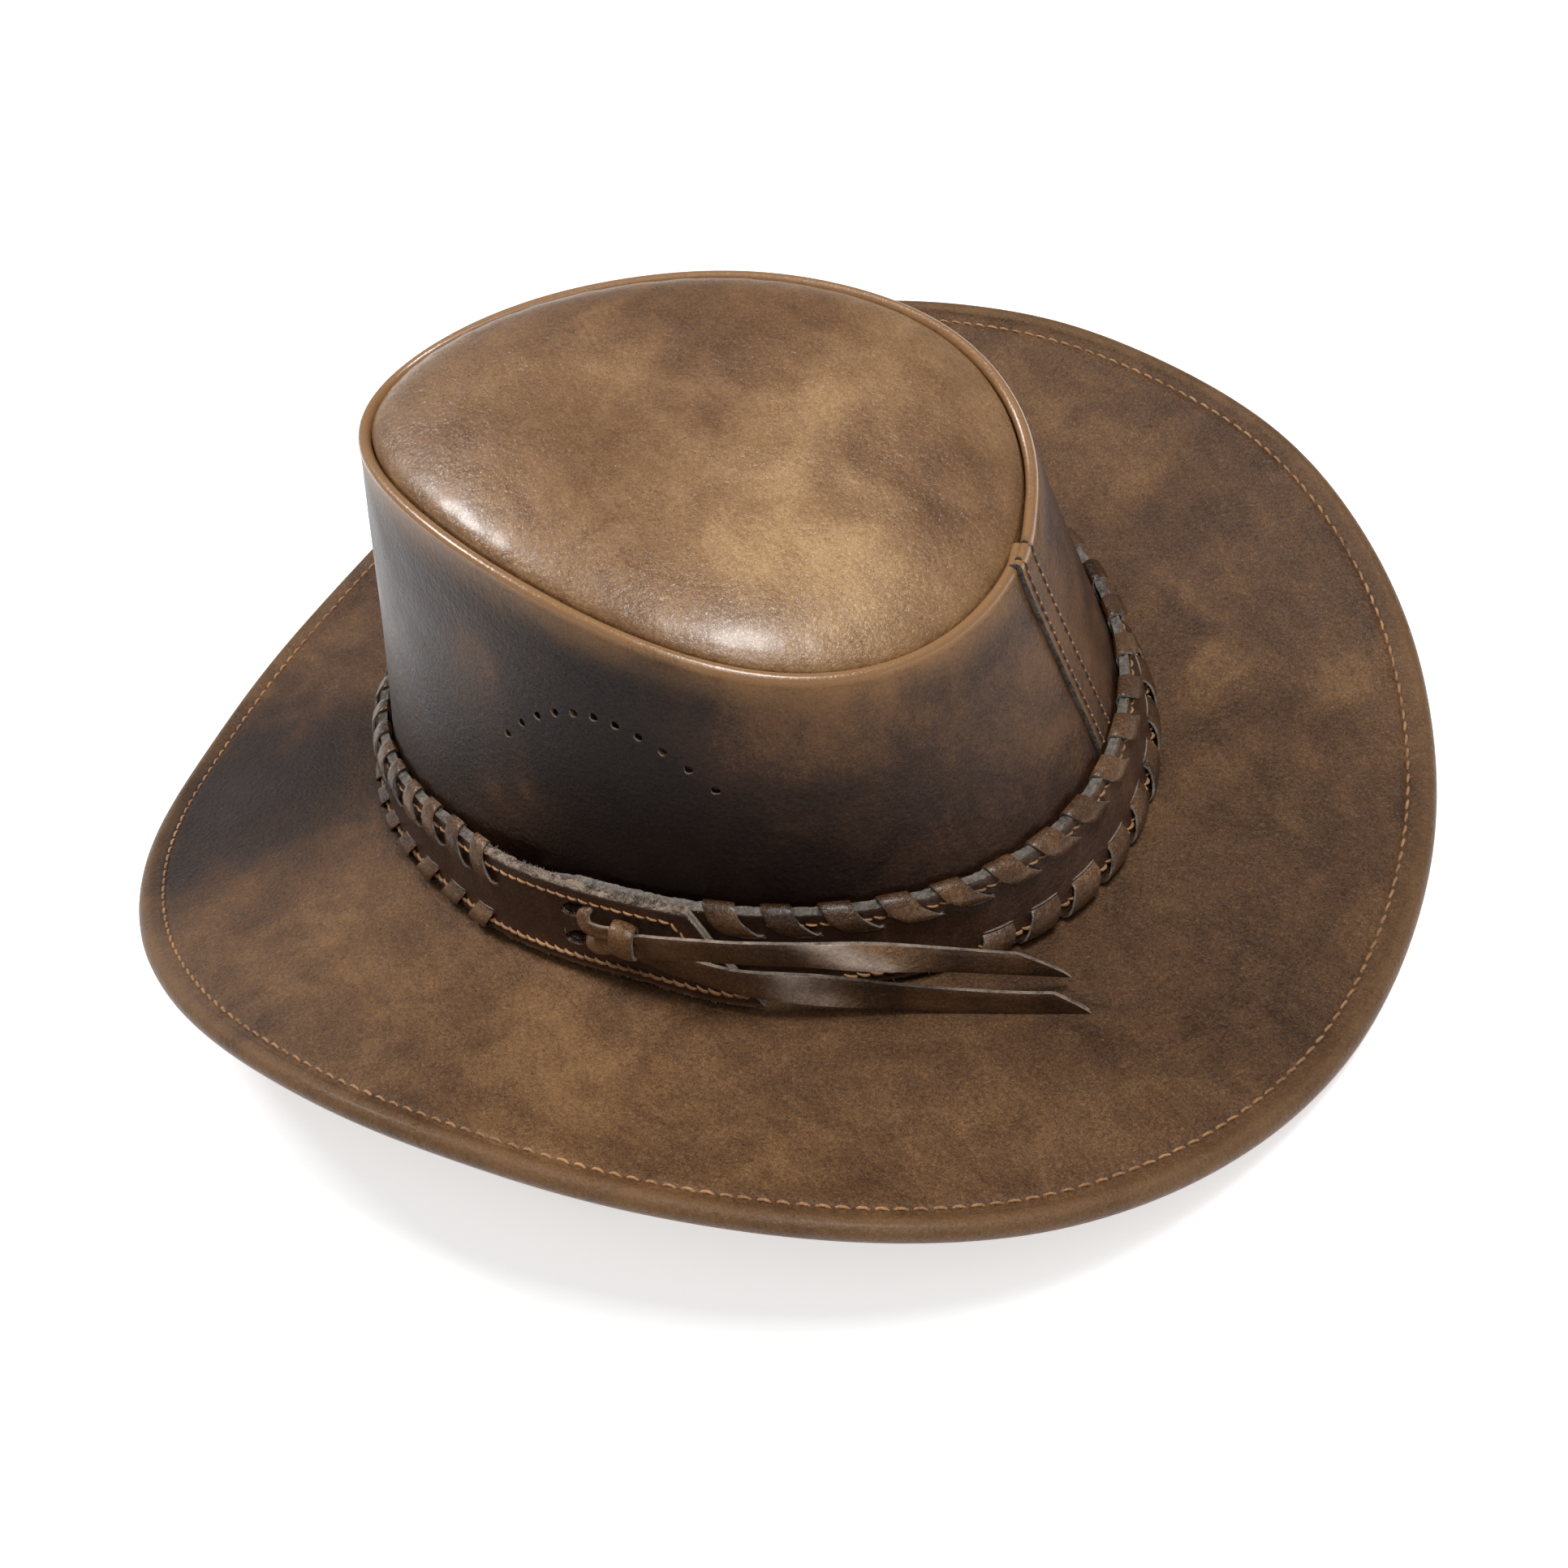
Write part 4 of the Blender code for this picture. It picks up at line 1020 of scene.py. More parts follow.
# ---- Brim -------------------------------------------------------------------------------------
BRIM_ROWS = 30


def brim_face(turn, inset):
    """The brim's top face with its sunken row of stitches."""
    dip = -0.00032 * bell(inset - STITCH_INSET, 0.0007)
    puff = 0.00018 * bell(inset - 0.0095, 0.0014)
    point = brim_point(turn, inset, dip + puff)
    point.z += rough(point, 0.045, 0.0006) * smooth((inset - 0.008) / 0.02)
    return point


def brim_upper_column(turn):
    width = brim_width(turn)
    depth = CROWN_LEATHER + GAP
    column = [wall_point(turn, FLANGE_HEIGHT, -depth), wall_point(turn, 0.0, -depth)]
    for row in range(1, BRIM_ROWS):
        column.append(brim_face(turn, mix(width, 0.0098, row / (BRIM_ROWS - 1))))
    column += [brim_face(turn, inset)
               for inset in (0.0089, 0.0081, 0.0076, STITCH_INSET, 0.0068, 0.0062, 0.0056)]
    column += [hem_point(turn, angle, HEM_RADIUS) for angle in (118, 104, 88, 72, 55, 38, 20, 2, -16,
                                                                -34, -52, -70, -88, -106, -122)]
    fold_low = -3 * BRIM_LEATHER - 2 * GAP
    column.append(brim_point(turn, 0.0072, fold_low * 0.97))
    column.append(brim_point(turn, HEM_FOLD, fold_low))
    column.append(brim_point(turn, HEM_FOLD, fold_low + BRIM_LEATHER))
    column += [hem_point(turn, angle, HEM_BORE) for angle in (-125, -60, 0, 60, 115)]
    column.append(brim_point(turn, STITCH_INSET, -BRIM_LEATHER))
    column += [brim_point(turn, width * share, -BRIM_LEATHER) for share in (0.2, 0.45, 0.7)]
    column.append(wall_point(turn, -0.9 * BRIM_LEATHER, -depth - 0.4 * BRIM_LEATHER))
    column.append(wall_point(turn, 0.0, -depth - BRIM_LEATHER))
    column.append(wall_point(turn, FLANGE_HEIGHT, -depth - BRIM_LEATHER))
    return column


def brim_lower_column(turn):
    width = brim_width(turn)
    depth = CROWN_LEATHER + 2 * GAP + BRIM_LEATHER
    top = -BRIM_LEATHER - GAP
    under = top - BRIM_LEATHER
    shares = (0.85, 0.70, 0.55, 0.42, 0.30, 0.2, 0.13)
    column = [wall_point(turn, FLANGE_HEIGHT, -depth), wall_point(turn, -0.0004, -depth)]
    column.append(wall_point(turn, top * 0.95, -depth + 0.35 * BRIM_LEATHER))
    column += [brim_point(turn, width * share, top) for share in shares]
    column.append(brim_point(turn, STITCH_INSET, top))
    column.append(brim_point(turn, STITCH_INSET, under))
    column += [brim_point(turn, width * share, under) for share in reversed(shares)]
    column.append(wall_point(turn, under, -depth - 0.3 * BRIM_LEATHER))
    column.append(wall_point(turn, top * 0.6, -depth - BRIM_LEATHER))
    column.append(wall_point(turn, FLANGE_HEIGHT, -depth - BRIM_LEATHER))
    return column


def make_brim():
    turns = full_turns(300)
    columns = [brim_upper_column(turn) for turn in turns]
    size = len(columns[0])
    hem_first = 2 + BRIM_ROWS - 1 + 5
    hem_last = hem_first + 16
    fold_end = hem_last + 4

    def slot_of(k):
        return 1 if k == fold_end - 1 or k == size - 1 else 0

    def wear_and_sheen_of(_, k):
        if not hem_first <= k <= hem_last:
            return 0.0
        return 0.75 * bell(k - hem_first - 6.0, 4.5)

    piece = loft("brim_top", columns, True, [brim_skin, raw_edge], slot_of,
                 lambda point: tone_and_sheen_at(point, BRIM_PATCHES), wear_and_sheen_of,
                 crease_of=lambda point: tone_and_sheen_at(point, BRIM_CREASES))
    finish_piece(piece, "hat", "brim_leather", "brim_upper_leather")
    columns = [brim_lower_column(turn) for turn in full_turns(200)]
    piece = loft("brim_underside", columns, True, [under_skin])
    finish_piece(piece, "hat", "brim_underside_leather", "brim_lower_leather")


def make_brim_stitches():
    turns = turns_between(0.0, 360.0, 1.0)
    fold_low = -3 * BRIM_LEATHER - 2 * GAP
    above = surface_route(turns, lambda turn: brim_face(turn, STITCH_INSET),
                          lambda turn: brim_normal(turn, STITCH_INSET))
    below = surface_route(turns, lambda turn: brim_point(turn, STITCH_INSET, fold_low * 0.97),
                          lambda turn: -brim_normal(turn, STITCH_INSET))
    sew("brim_edge_stitches", "brim_edge_thread", "hat", "tan_thread", [above, below], 0.0040, 0.78,
        0.00036, tan_thread, 0.00035, 0.00005, 3)


# ---- Sweatband --------------------------------------------------------------------------------
def sweat_column(turn):
    near = -SWEAT_DEPTH
    far = near - SWEAT_LEATHER
    heights = [mix(SWEAT_LOW, SWEAT_HIGH, k / 8) for k in range(9)]
    column = [wall_point(turn, height, near) for height in heights]
    column.append(wall_point(turn, SWEAT_HIGH + 0.0003, (near + far) / 2))
    for height in reversed(heights):
        column.append(wall_point(turn, height, far + rough(wall_point(turn, height), 0.03, 0.0004)))
    column.append(wall_point(turn, SWEAT_LOW - 0.0003, (near + far) / 2))
    return column


def make_sweatband():
    columns = [sweat_column(turn) for turn in turns_between(0.4, 359.6, 1.5)]

    piece = loft("sweatband_lining", columns, False, [sweat_skin, raw_edge],
                 lambda k: int(k in (8, 9, 18, 19)), cap_slot=1)
    finish_piece(piece, "hat", "sweatband_leather", "sweatband")
    inner = -SWEAT_DEPTH - SWEAT_LEATHER
    rows = []
    for height in (0.0050, SWEAT_HIGH - 0.0025):
        rows.append(surface_route(turns_between(1.6, 358.4, 1.5),
                                  lambda turn, height=height: wall_point(turn, height, inner),
                                  lambda turn: -outward(foot, turn)))
    sew("sweatband_stitches", "sweatband_thread", "hat", "tan_thread", rows, *HIDDEN_STITCH,
        tan_thread, seed=5)


# ---- Hat band ---------------------------------------------------------------------------------
FACE_LEVELS = (0.0, 0.012, 0.05, 0.12, 0.25, 0.4, 0.55, 0.7, 0.82, 0.92, 0.97, 0.99, 1.0)
BAND_TIP_DROP = 0.0012        # the outer end's lower corner droops towards the brim
BAND_TIP_REACH = 1.0          # and reaches this much further, in degrees


def band_slant(turn):
    """Extra turn of the upper edge, which makes the outer end's diagonal cut."""
    share = (BAND_SLANT_END - turn) / (BAND_SLANT_END - BAND_TIP_TURN)
    return (BAND_SLANT + BAND_TIP_REACH) * max(0.0, share)


def band_surface(turn, level, out):
    """band_point with the diagonal end and a cut edge that wanders a little."""
    at = turn + band_slant(turn) * level
    wander = 0.0
    if abs(level - 0.5) > 0.48:
        edge = Vector((turn * 0.0017, level, out * 3))
        wander = rough(edge, 0.004, 0.00022) + rough(edge, 0.0009, 0.00022)
    droop = BAND_TIP_DROP * smooth((82.0 - turn) / 16.0) * (1.0 - level)
    tuck = BAND_END_TUCK * smooth((turn - BAND_END_TURN + 10.0) / 10.0) * max(level - 0.4, 0.0)
    return band_point(at, level - tuck + wander / BAND_SPAN, out) - UP * droop


def band_column(turn, out, thickness):
    column = []
    for level in FACE_LEVELS:
        sink = 0.00022 * (bell(level * BAND_SPAN - THREAD_INSET, 0.0006)
                          + bell((1 - level) * BAND_SPAN - THREAD_INSET, 0.0006))
        rounding = 0.00022 * (bell(level, 0.012) + bell(1 - level, 0.012))
        column.append(band_surface(turn, level, out + thickness - sink - rounding))
    for share in (0.66, 0.33):
        column.append(band_surface(turn, 1.0 + 0.012, out + thickness * share))
    for level in (1.0, 0.5, 0.0):
        column.append(band_surface(turn, level, out))
    for share in (0.33, 0.66):
        column.append(band_surface(turn, -0.012, out + thickness * share))
    return column


def slot_rim(angle):
    """Place on a slot's lens-shaped outline: along the band and up."""
    y = SLOT_HALF_LENGTH * math.cos(angle)
    return y, SLOT_HALF_HEIGHT * math.sin(angle) * abs(math.sin(angle)) ** 0.35


def make_slot_cutter():
    points = []
    faces = []
    sides = 20
    for height in SLOT_HEIGHTS:
        middle = Vector((foot(90.0).x - 0.004, SLOT_MIDDLE_Y, foot(88.0).z + height))
        base = len(points)
        for reach in (-0.012, 0.012):
            for k in range(sides):
                y, lens = slot_rim(2.0 * math.pi * k / sides)
                points.append(settled(middle) + Vector((reach, y, lens + reach * -0.25 + y * SLOT_TILT)))
        add_skin(faces, base, sides, 2)
    return make_piece("slot_cutter", points, faces, [band_skin])


def make_band():
    turns = turns_between(BAND_TIP_TURN - BAND_TIP_REACH, BAND_END_TURN, 0.45)
    rows = len(FACE_LEVELS)

    def slot_of(k):
        return 0 if k < rows - 1 or rows + 1 < k < rows + 4 else 1

    def wear_and_sheen_of(_, k):
        return 0.5 if k in (0, 1, rows - 2, rows - 1) else 0.0

    for name, node, out, slot in (("band_outer", "hatband_outer_ply", OUTER_OUT, "hatband_leather"),
                                  ("band_backing", "hatband_backing_ply", BACKING_OUT,
                                   "hatband_backing_leather")):
        columns = [band_column(turn, out, BAND_LEATHER) for turn in turns]
        piece = loft(name, columns, False, [band_skin, raw_edge], slot_of,
                     lambda point: tone_and_sheen_at(point, BAND_PATCHES), wear_and_sheen_of, 50.0, 1)
        carve(piece, make_slot_cutter())
        finish_piece(piece, "hat_band", slot, node)


def make_frayed_edge():
    """The raw tops of the stacked plies, felted into one uneven ridge."""
    runs = (("band_frayed_edge", BAND_TIP_TURN - BAND_TIP_REACH, 106.0, raw_edge),
            ("band_laced_edge", 106.0, BAND_END_TURN, raw_grey))
    for name, start, end, material in runs:
        columns = []
        for turn in turns_between(start, end, 0.25):
            loose = mix(1.0, 0.5, smooth((turn - 103.0) / 5.0))
            column = [band_surface(turn, 0.985, BACKING_OUT + 0.0001)]
            for share in (0.0, 0.12, 0.3, 0.5, 0.7, 0.88, 1.0):
                place = band_surface(turn, 1.0, mix(BACKING_OUT - 0.00015, BAND_FACE + 0.00010, share))
                pile = rough(place, 0.0011, 0.0009) + rough(place, 0.0035, 0.0005)
                height = 0.0004 * math.sin(math.pi * share) ** 0.5 + pile
                column.append(place + UP * (max(height, 0.0) * loose + 0.00018))
            column.append(band_surface(turn, 0.985, BAND_FACE - 0.0001))
            columns.append(column)
        finish_piece(loft(name, columns, False, [material], sharp=80.0), "hat_band", "hatband_leather")


def make_band_fuzz():
    """Fibres along the band's raw upper and lower edges, its cut end and its slots."""
    dice = random.Random(41)
    spots = []
    stack = ((BACKING_OUT, BACKING_OUT + BAND_LEATHER), (OUTER_OUT, BAND_FACE))
    for _ in range(9000):
        level = 1.0 if dice.random() < 0.78 else 0.0
        bare = dice.random() < 0.42
        turn = dice.uniform(BAND_TIP_TURN, 106.0) if bare else dice.uniform(106.0, BAND_END_TURN)
        place = band_surface(turn, level, dice.uniform(*dice.choice(stack)))
        spots.append((settled(place), UP * (2.0 * level - 1.0) + outward(foot, turn) * 0.35))
    for _ in range(260):
        level = dice.random()
        turn = BAND_TIP_TURN - BAND_TIP_REACH
        place = band_surface(turn, level, dice.uniform(*dice.choice(stack)))
        spots.append((settled(place), Vector((0.35, 1.0, -0.2))))
    for height in SLOT_HEIGHTS:
        for _ in range(50):
            a = dice.uniform(0.0, 2.0 * math.pi)
            y, lens = slot_rim(a)
            place = tie_point(SLOT_MIDDLE_Y + y, height + lens * 1.1 + y * SLOT_TILT,
                              BAND_FACE + BAND_LIFT - dice.uniform(0.0, 0.0006))
            spots.append((settled(place), Vector((0.5, -math.cos(a), -math.sin(a)))))
    make_fuzz("band_fuzz", spots, 0.0009, raw_edge, 42, "hat_band", "hatband_leather")
    tufts = []
    for _ in range(700):
        turn = dice.uniform(BAND_TIP_TURN, 106.0)
        place = band_surface(turn, 1.0, mix(BACKING_OUT, BAND_FACE, dice.random() ** 1.6))
        tufts.append((settled(place) + UP * 0.0004, UP + outward(foot, turn) * dice.uniform(-0.7, 0.5)))
    make_fuzz("band_tufts", tufts, 0.0013, raw_edge, 43, "hat_band", "hatband_leather")


def make_band_stitches():
    low = THREAD_INSET / BAND_SPAN
    high = 1.0 - low
    end = 360.0 + 63.0
    lower_turns = turns_between(BAND_TIP_TURN + 0.9, end, 1.0)
    upper_turns = turns_between(BAND_TIP_TURN + BAND_SLANT + 1.8, end, 1.0)

    def place(turn, level):
        return band_surface(turn - band_slant(turn) * level, level, BAND_FACE)

    lower = surface_route(lower_turns, lambda turn: place(turn, low), lambda turn: band_normal(turn, low))
    upper = surface_route(upper_turns, lambda turn: place(turn, high), lambda turn: band_normal(turn, high))
    shares = [k / 12 for k in range(13)]
    first = upper_turns[0]
    last = lower_turns[0]
    across = Route([place(mix(first, last, s), mix(high, low, s)) for s in shares],
                   [band_normal(mix(first, last, s), mix(high, low, s)) for s in shares])
    sew("band_upper_stitches", "hatband_upper_thread", "hat_band", "tan_thread", [upper, across],
        0.0031, 0.92, 0.00033, tan_thread, 0.0005, 0.00005, 11)
    knot = []
    for skew, reach in ((0.0007, 0.0014), (-0.0006, 0.0012), (0.0001, 0.0017)):
        ends = [place(last + side * reach * 300, low + side * skew / BAND_SPAN) for side in (-1.0, 0.0, 1.0)]
        knot.append(Route(ends, [band_normal(last, low)] * 3))
    piece = make_stitches("band_lower_stitches", [lower], 0.0030, 1.06, 0.00042, tan_thread, 0.0008,
                          0.00012, 12)
    ball = make_stitches("band_end_knot", knot, 0.01, 0.95, 0.00042, tan_thread, 0.0, 0.0002, 13)
    piece = join_pieces("band_lower_stitches", [piece, ball])
    finish_piece(piece, "hat_band", "tan_thread", "hatband_lower_thread")


# ---- Whip lacing ------------------------------------------------------------------------------
WRAP_SHARES = (-1.0, -0.93, -0.5, 0.0, 0.5, 0.93, 1.0)
WRAP_SECTION = [(1.0, share) for share in WRAP_SHARES] + [(-1.0, share) for share in WRAP_SHARES[::-1]]


def wrap_slot(k):
    """Material of the faces from a place in a lace's section: raw on its two cut sides."""
    return int(k in (len(WRAP_SHARES) - 1, len(WRAP_SECTION) - 1))


def degrees_per_metre(turn):
    return 0.2 / (band_point(turn + 0.1, 0.5, BAND_FACE) - band_point(turn - 0.1, 0.5, BAND_FACE)).length


def lace_fit(turn, upper):
    """Reach, width, slant and pitch of a wrap: the lacing is uneven from one side to the other."""
    share = smooth((turn - 150.0) / 230.0)
    last = smooth((turn - 400.0) / 30.0)
    if upper:
        return (mix(0.0074, 0.0056, share), mix(0.0058, 0.0076, share), mix(0.0050, 0.0056, share),
                mix(0.0122, 0.0140, share))
    return (mix(0.0050, 0.0064, share), mix(0.0076, 0.0090, share) - 0.0030 * last,
            mix(0.0036, 0.0052, share), mix(0.0128, 0.0140, share))


def lace_places(turns, upper, seed):
    """Turn, fit and lift of every wrap in a row."""
    dice = random.Random(seed)
    turn = turns[0]
    while turn < turns[1]:
        reach, width, lean, pitch = [value * dice.uniform(0.94, 1.06) for value in lace_fit(turn, upper)]
        yield turn, (reach, width, lean), dice.uniform(0.0, 0.0003)
        turn += pitch * degrees_per_metre(turn)


def wrap_path(reach):
    """Inset from the edge, place outward and share of the lean, from slit to hidden end."""
    face = BAND_FACE + LACE_THICKNESS * 0.5
    back = GAP + LACE_THICKNESS * 0.5
    middle = (face + back) / 2
    return ((reach + 0.0005, face - 0.0017, 1.06), (reach + 0.0001, face - 0.0007, 1.0),
            (reach - 0.0007, face + 0.00045, 0.90), (reach * 0.76, face + 0.00105, 0.76),
            (reach * 0.54, face + 0.00130, 0.54), (reach * 0.34, face + 0.00125, 0.35),
            (0.0010, face + 0.00092, 0.17), (0.0001, face + 0.00040, 0.07), (-0.00060, face - 0.00025, 0.0),
            (-0.00100, mix(middle, face, 0.50), -0.05), (-0.00110, middle, -0.09),
            (-0.00090, mix(middle, back, 0.6), -0.12), (-0.0004, back + 0.0003, -0.16), (0.0004, back, -0.2),
            (0.0030, back, -0.35), (0.0050, back, -0.5))


def add_wrap(points, faces, slots, turn, upper, fit, lift):
    """One turn of flat lace over the band's edge, a closed box section along its path."""
    reach, width, lean = fit
    scale = degrees_per_metre(turn)
    base = len(points)
    path = wrap_path(reach)
    for inset, out, along in path:
        level = 1.0 - inset / BAND_SPAN if upper else inset / BAND_SPAN
        narrow = 1.0 - 0.06 * smooth((inset - reach * 0.5) / (reach * 0.5))
        for side, share in WRAP_SECTION:
            crown = (1.0 - abs(share) ** 4) * 0.00012
            thick = (LACE_THICKNESS * 0.5 * (1.0 if abs(share) < 0.95 else 0.75) + crown) * side
            at = turn - (lean * along - share * width * narrow * 0.5) * scale
            edge = thick if inset > 0.0003 else 0.0
            spread = 0.0 if inset > 0.0003 else -thick / BAND_SPAN
            if not upper:
                spread = -spread
            facing = -1.0 if out < BACKING_OUT else 1.0
            push = edge * facing + (lift if out > BAND_FACE else 0.0)
            points.append(band_point(at, level - spread, out + push))
    add_skin(faces, base, len(WRAP_SECTION), len(path))
    slots += [wrap_slot(k) for k in range(len(WRAP_SECTION))] * (len(path) - 1) + [1, 1]


def make_edge_lace(name, node, turns, upper, seed):
    points = []
    faces = []
    slots = []
    for turn, fit, lift in lace_places(turns, upper, seed):
        add_wrap(points, faces, slots, turn, upper, fit, lift)
    points = [settled(point) for point in points]
    tone_and_sheen_values = [0.02 + rough(point, 0.012, 0.26) for point in points]
    piece = make_piece(name, points, faces, [lace_skin, raw_grey], slots, {"tone_and_sheen": tone_and_sheen_values}, 50.0)
    finish_piece(piece, "hat_band", "lace_leather", node)


def make_slits(rows):
    """Raw lips of all the slits, as one piece."""
    points = []
    faces = []
    for turns, upper, seed in rows:
        for turn, (reach, width, lean), _ in lace_places(turns, upper, seed):
            scale = degrees_per_metre(turn)
            inset = reach + 0.0007
            level = 1.0 - inset / BAND_SPAN if upper else inset / BAND_SPAN
            ends = [turn - (lean * 1.04 - side * width * 0.50) * scale
                    for side in (-1.0, -0.3, 0.3, 1.0)]
            route = Route([band_point(at, level, BAND_FACE) for at in ends],
                          [band_normal(at, level) for at in ends])
            add_stitch(points, faces, route, 0.0, route.length, 0.00026, 0.0, 0.0)
    finish_piece(make_piece("slit_lips", points, faces, [raw_edge], sharp=80.0), "hat_band",
                 "hatband_leather")


# ---- Ribbons of lace: tie strands, wrap and tails ---------------------------------------------
def ribbon_section(centre, along, normal, width, thickness, cup=0.0):
    across = along.cross(normal).normalized()
    out = across.cross(along).normalized()
    section = []
    for side, share in WRAP_SECTION:
        crown = (1.0 - abs(share) ** 4) * 0.0001 + (0.0 if abs(share) < 0.95 else -0.0001)
        lift = (thickness * 0.5 + crown) * side + cup * share * share
        section.append(centre + across * (share * width * 0.5) + out * lift)
    return section


def ribbon(name, sections, tone_and_sheen=0.0):
    return loft(name, sections, False, [lace_skin, raw_edge], wrap_slot,
                lambda point: tone_and_sheen + rough(point, 0.02, 0.22), None, 50.0, 1)


def curve_point(route, share):
    """Point on a smooth curve through a route's points (a Catmull-Rom spline)."""
    spans = len(route) - 1
    place = min(max(share, 0.0), 0.9999) * spans
    k = int(place)
    t = place - k
    ends = [Vector(route[min(max(k + step, 0), spans)]) for step in (-1, 0, 1, 2)]
    before, start, end, after = ends
    bend = (before * 2 - start * 5 + end * 4 - after) * t * t
    twist = (start * 3 - before - end * 3 + after) * t ** 3
    return (start * 2 + (end - before) * t + bend + twist) * 0.5


def path_sections(route, normal_of, width, thickness, steps):
    sections = []
    for k in range(steps + 1):
        share = k / steps
        along = (curve_point(route, share + 0.02) - curve_point(route, share - 0.02)).normalized()
        sections.append(ribbon_section(curve_point(route, share), along, normal_of(share), width,
                                       thickness))
    return sections


def join_pieces(name, parts):
    """Several meshes as one piece."""
    points = []
    faces = []
    slots = []
    tone_and_sheen_values = []
    for part in parts:
        base = len(points)
        mesh = part.data
        points += [vert.co.copy() for vert in mesh.vertices]
        faces += [tuple(base + k for k in polygon.vertices) for polygon in mesh.polygons]
        slots += [polygon.material_index for polygon in mesh.polygons]
        tone_and_sheen_values += [value.value for value in mesh.attributes["tone_and_sheen"].data]
        materials = list(mesh.materials)
        bpy.data.objects.remove(part)
    return make_piece(name, points, faces, materials, slots, {"tone_and_sheen": tone_and_sheen_values}, 50.0)


def make_strands():
    """Two strands that come out of the slots and turn along the band into the wrap."""
    low, high = SLOT_HEIGHTS
    face = BAND_FACE + BAND_LIFT
    upper = [tie_point(*place) for place in ((0.0052, high, face - 0.0024),
                                             (0.0048, high, face + 0.0003),
                                             (0.0046, high - 0.0006, face + 0.0016),
                                             (0.0058, high - 0.0022, face + 0.0025),
                                             (0.0090, high - 0.0032, face + 0.0023),
                                             (0.0122, high - 0.0034, face + 0.0018),
                                             (0.0170, high - 0.0034, face + 0.0014))]
    lower = [tie_point(*place) for place in ((0.0056, low + 0.0002, face - 0.0024),
                                             (0.0056, low, face + 0.0003),
                                             (0.0066, low - 0.0004, face + 0.0015),
                                             (0.0086, low - 0.0002, face + 0.0018),
                                             (0.0110, low + 0.0006, face + 0.0015),
                                             (0.0134, low + 0.0012, face + 0.0012),
                                             (0.0170, low + 0.0020, face + 0.0010))]

    def upper_normal(share):
        return mix(Vector((0.15, -0.35, 1.0)), Vector((0.95, 0.0, 0.35)),
                   smooth(share * 1.7)).normalized()

    def lower_normal(share):
        return mix(Vector((0.45, -0.45, 0.7)), Vector((0.95, 0.0, 0.30)),
                   smooth(share * 2.2)).normalized()

    parts = [ribbon("strand_upper", path_sections(upper, upper_normal, 0.0036, 0.0010, 24), 0.06),
             ribbon("strand_lower", path_sections(lower, lower_normal, 0.0050, 0.0010, 24), 0.06)]
    piece = join_pieces("tie_strands", parts)
    finish_piece(piece, "hat_band", "lace_leather", "tie_loop")


WRAP_DEPTH = 0.0025
WRAP_HEIGHT = 0.0041
WRAP_WIDTH = 0.0062


def make_wrap():
    """Lace wound once round the strands and tails, its two ends tucked in behind."""
    middle = tie_point(0.0162, 0.0183, BAND_FACE + BAND_LIFT + 0.0029)
    lean = math.radians(9.0)
    along_band = Vector((0.0, math.cos(lean), -math.sin(lean)))
    rise = Vector((-0.24, math.sin(lean), math.cos(lean))).normalized()
    deep = along_band.cross(rise).normalized()
    sections = []
    steps = 48
    for k in range(steps + 1):
        a = math.radians(mix(-172.0, 176.0, k / steps))
        squared = 1.0 + 0.10 * math.sin(2.0 * a) ** 2
        drift = along_band * mix(0.0010, -0.0008, k / steps)
        c = math.cos(a)
        s = math.sin(a)
        centre = middle + (deep * (WRAP_DEPTH * c) + rise * (WRAP_HEIGHT * s)) * squared
        normal = (deep * (c / WRAP_DEPTH) + rise * (s / WRAP_HEIGHT)).normalized()
        tangent = (rise * (c * WRAP_HEIGHT) - deep * (s * WRAP_DEPTH)).normalized()
        sections.append(ribbon_section(centre + drift, tangent, normal, WRAP_WIDTH, 0.0011, -0.0003))
    piece = ribbon("tie_wrap", sections, 0.10)
    finish_piece(piece, "hat_band", "lace_leather", "tie_knot")


TAIL_TUCK = 0.0034            # hidden root of a tail, inside the wrap


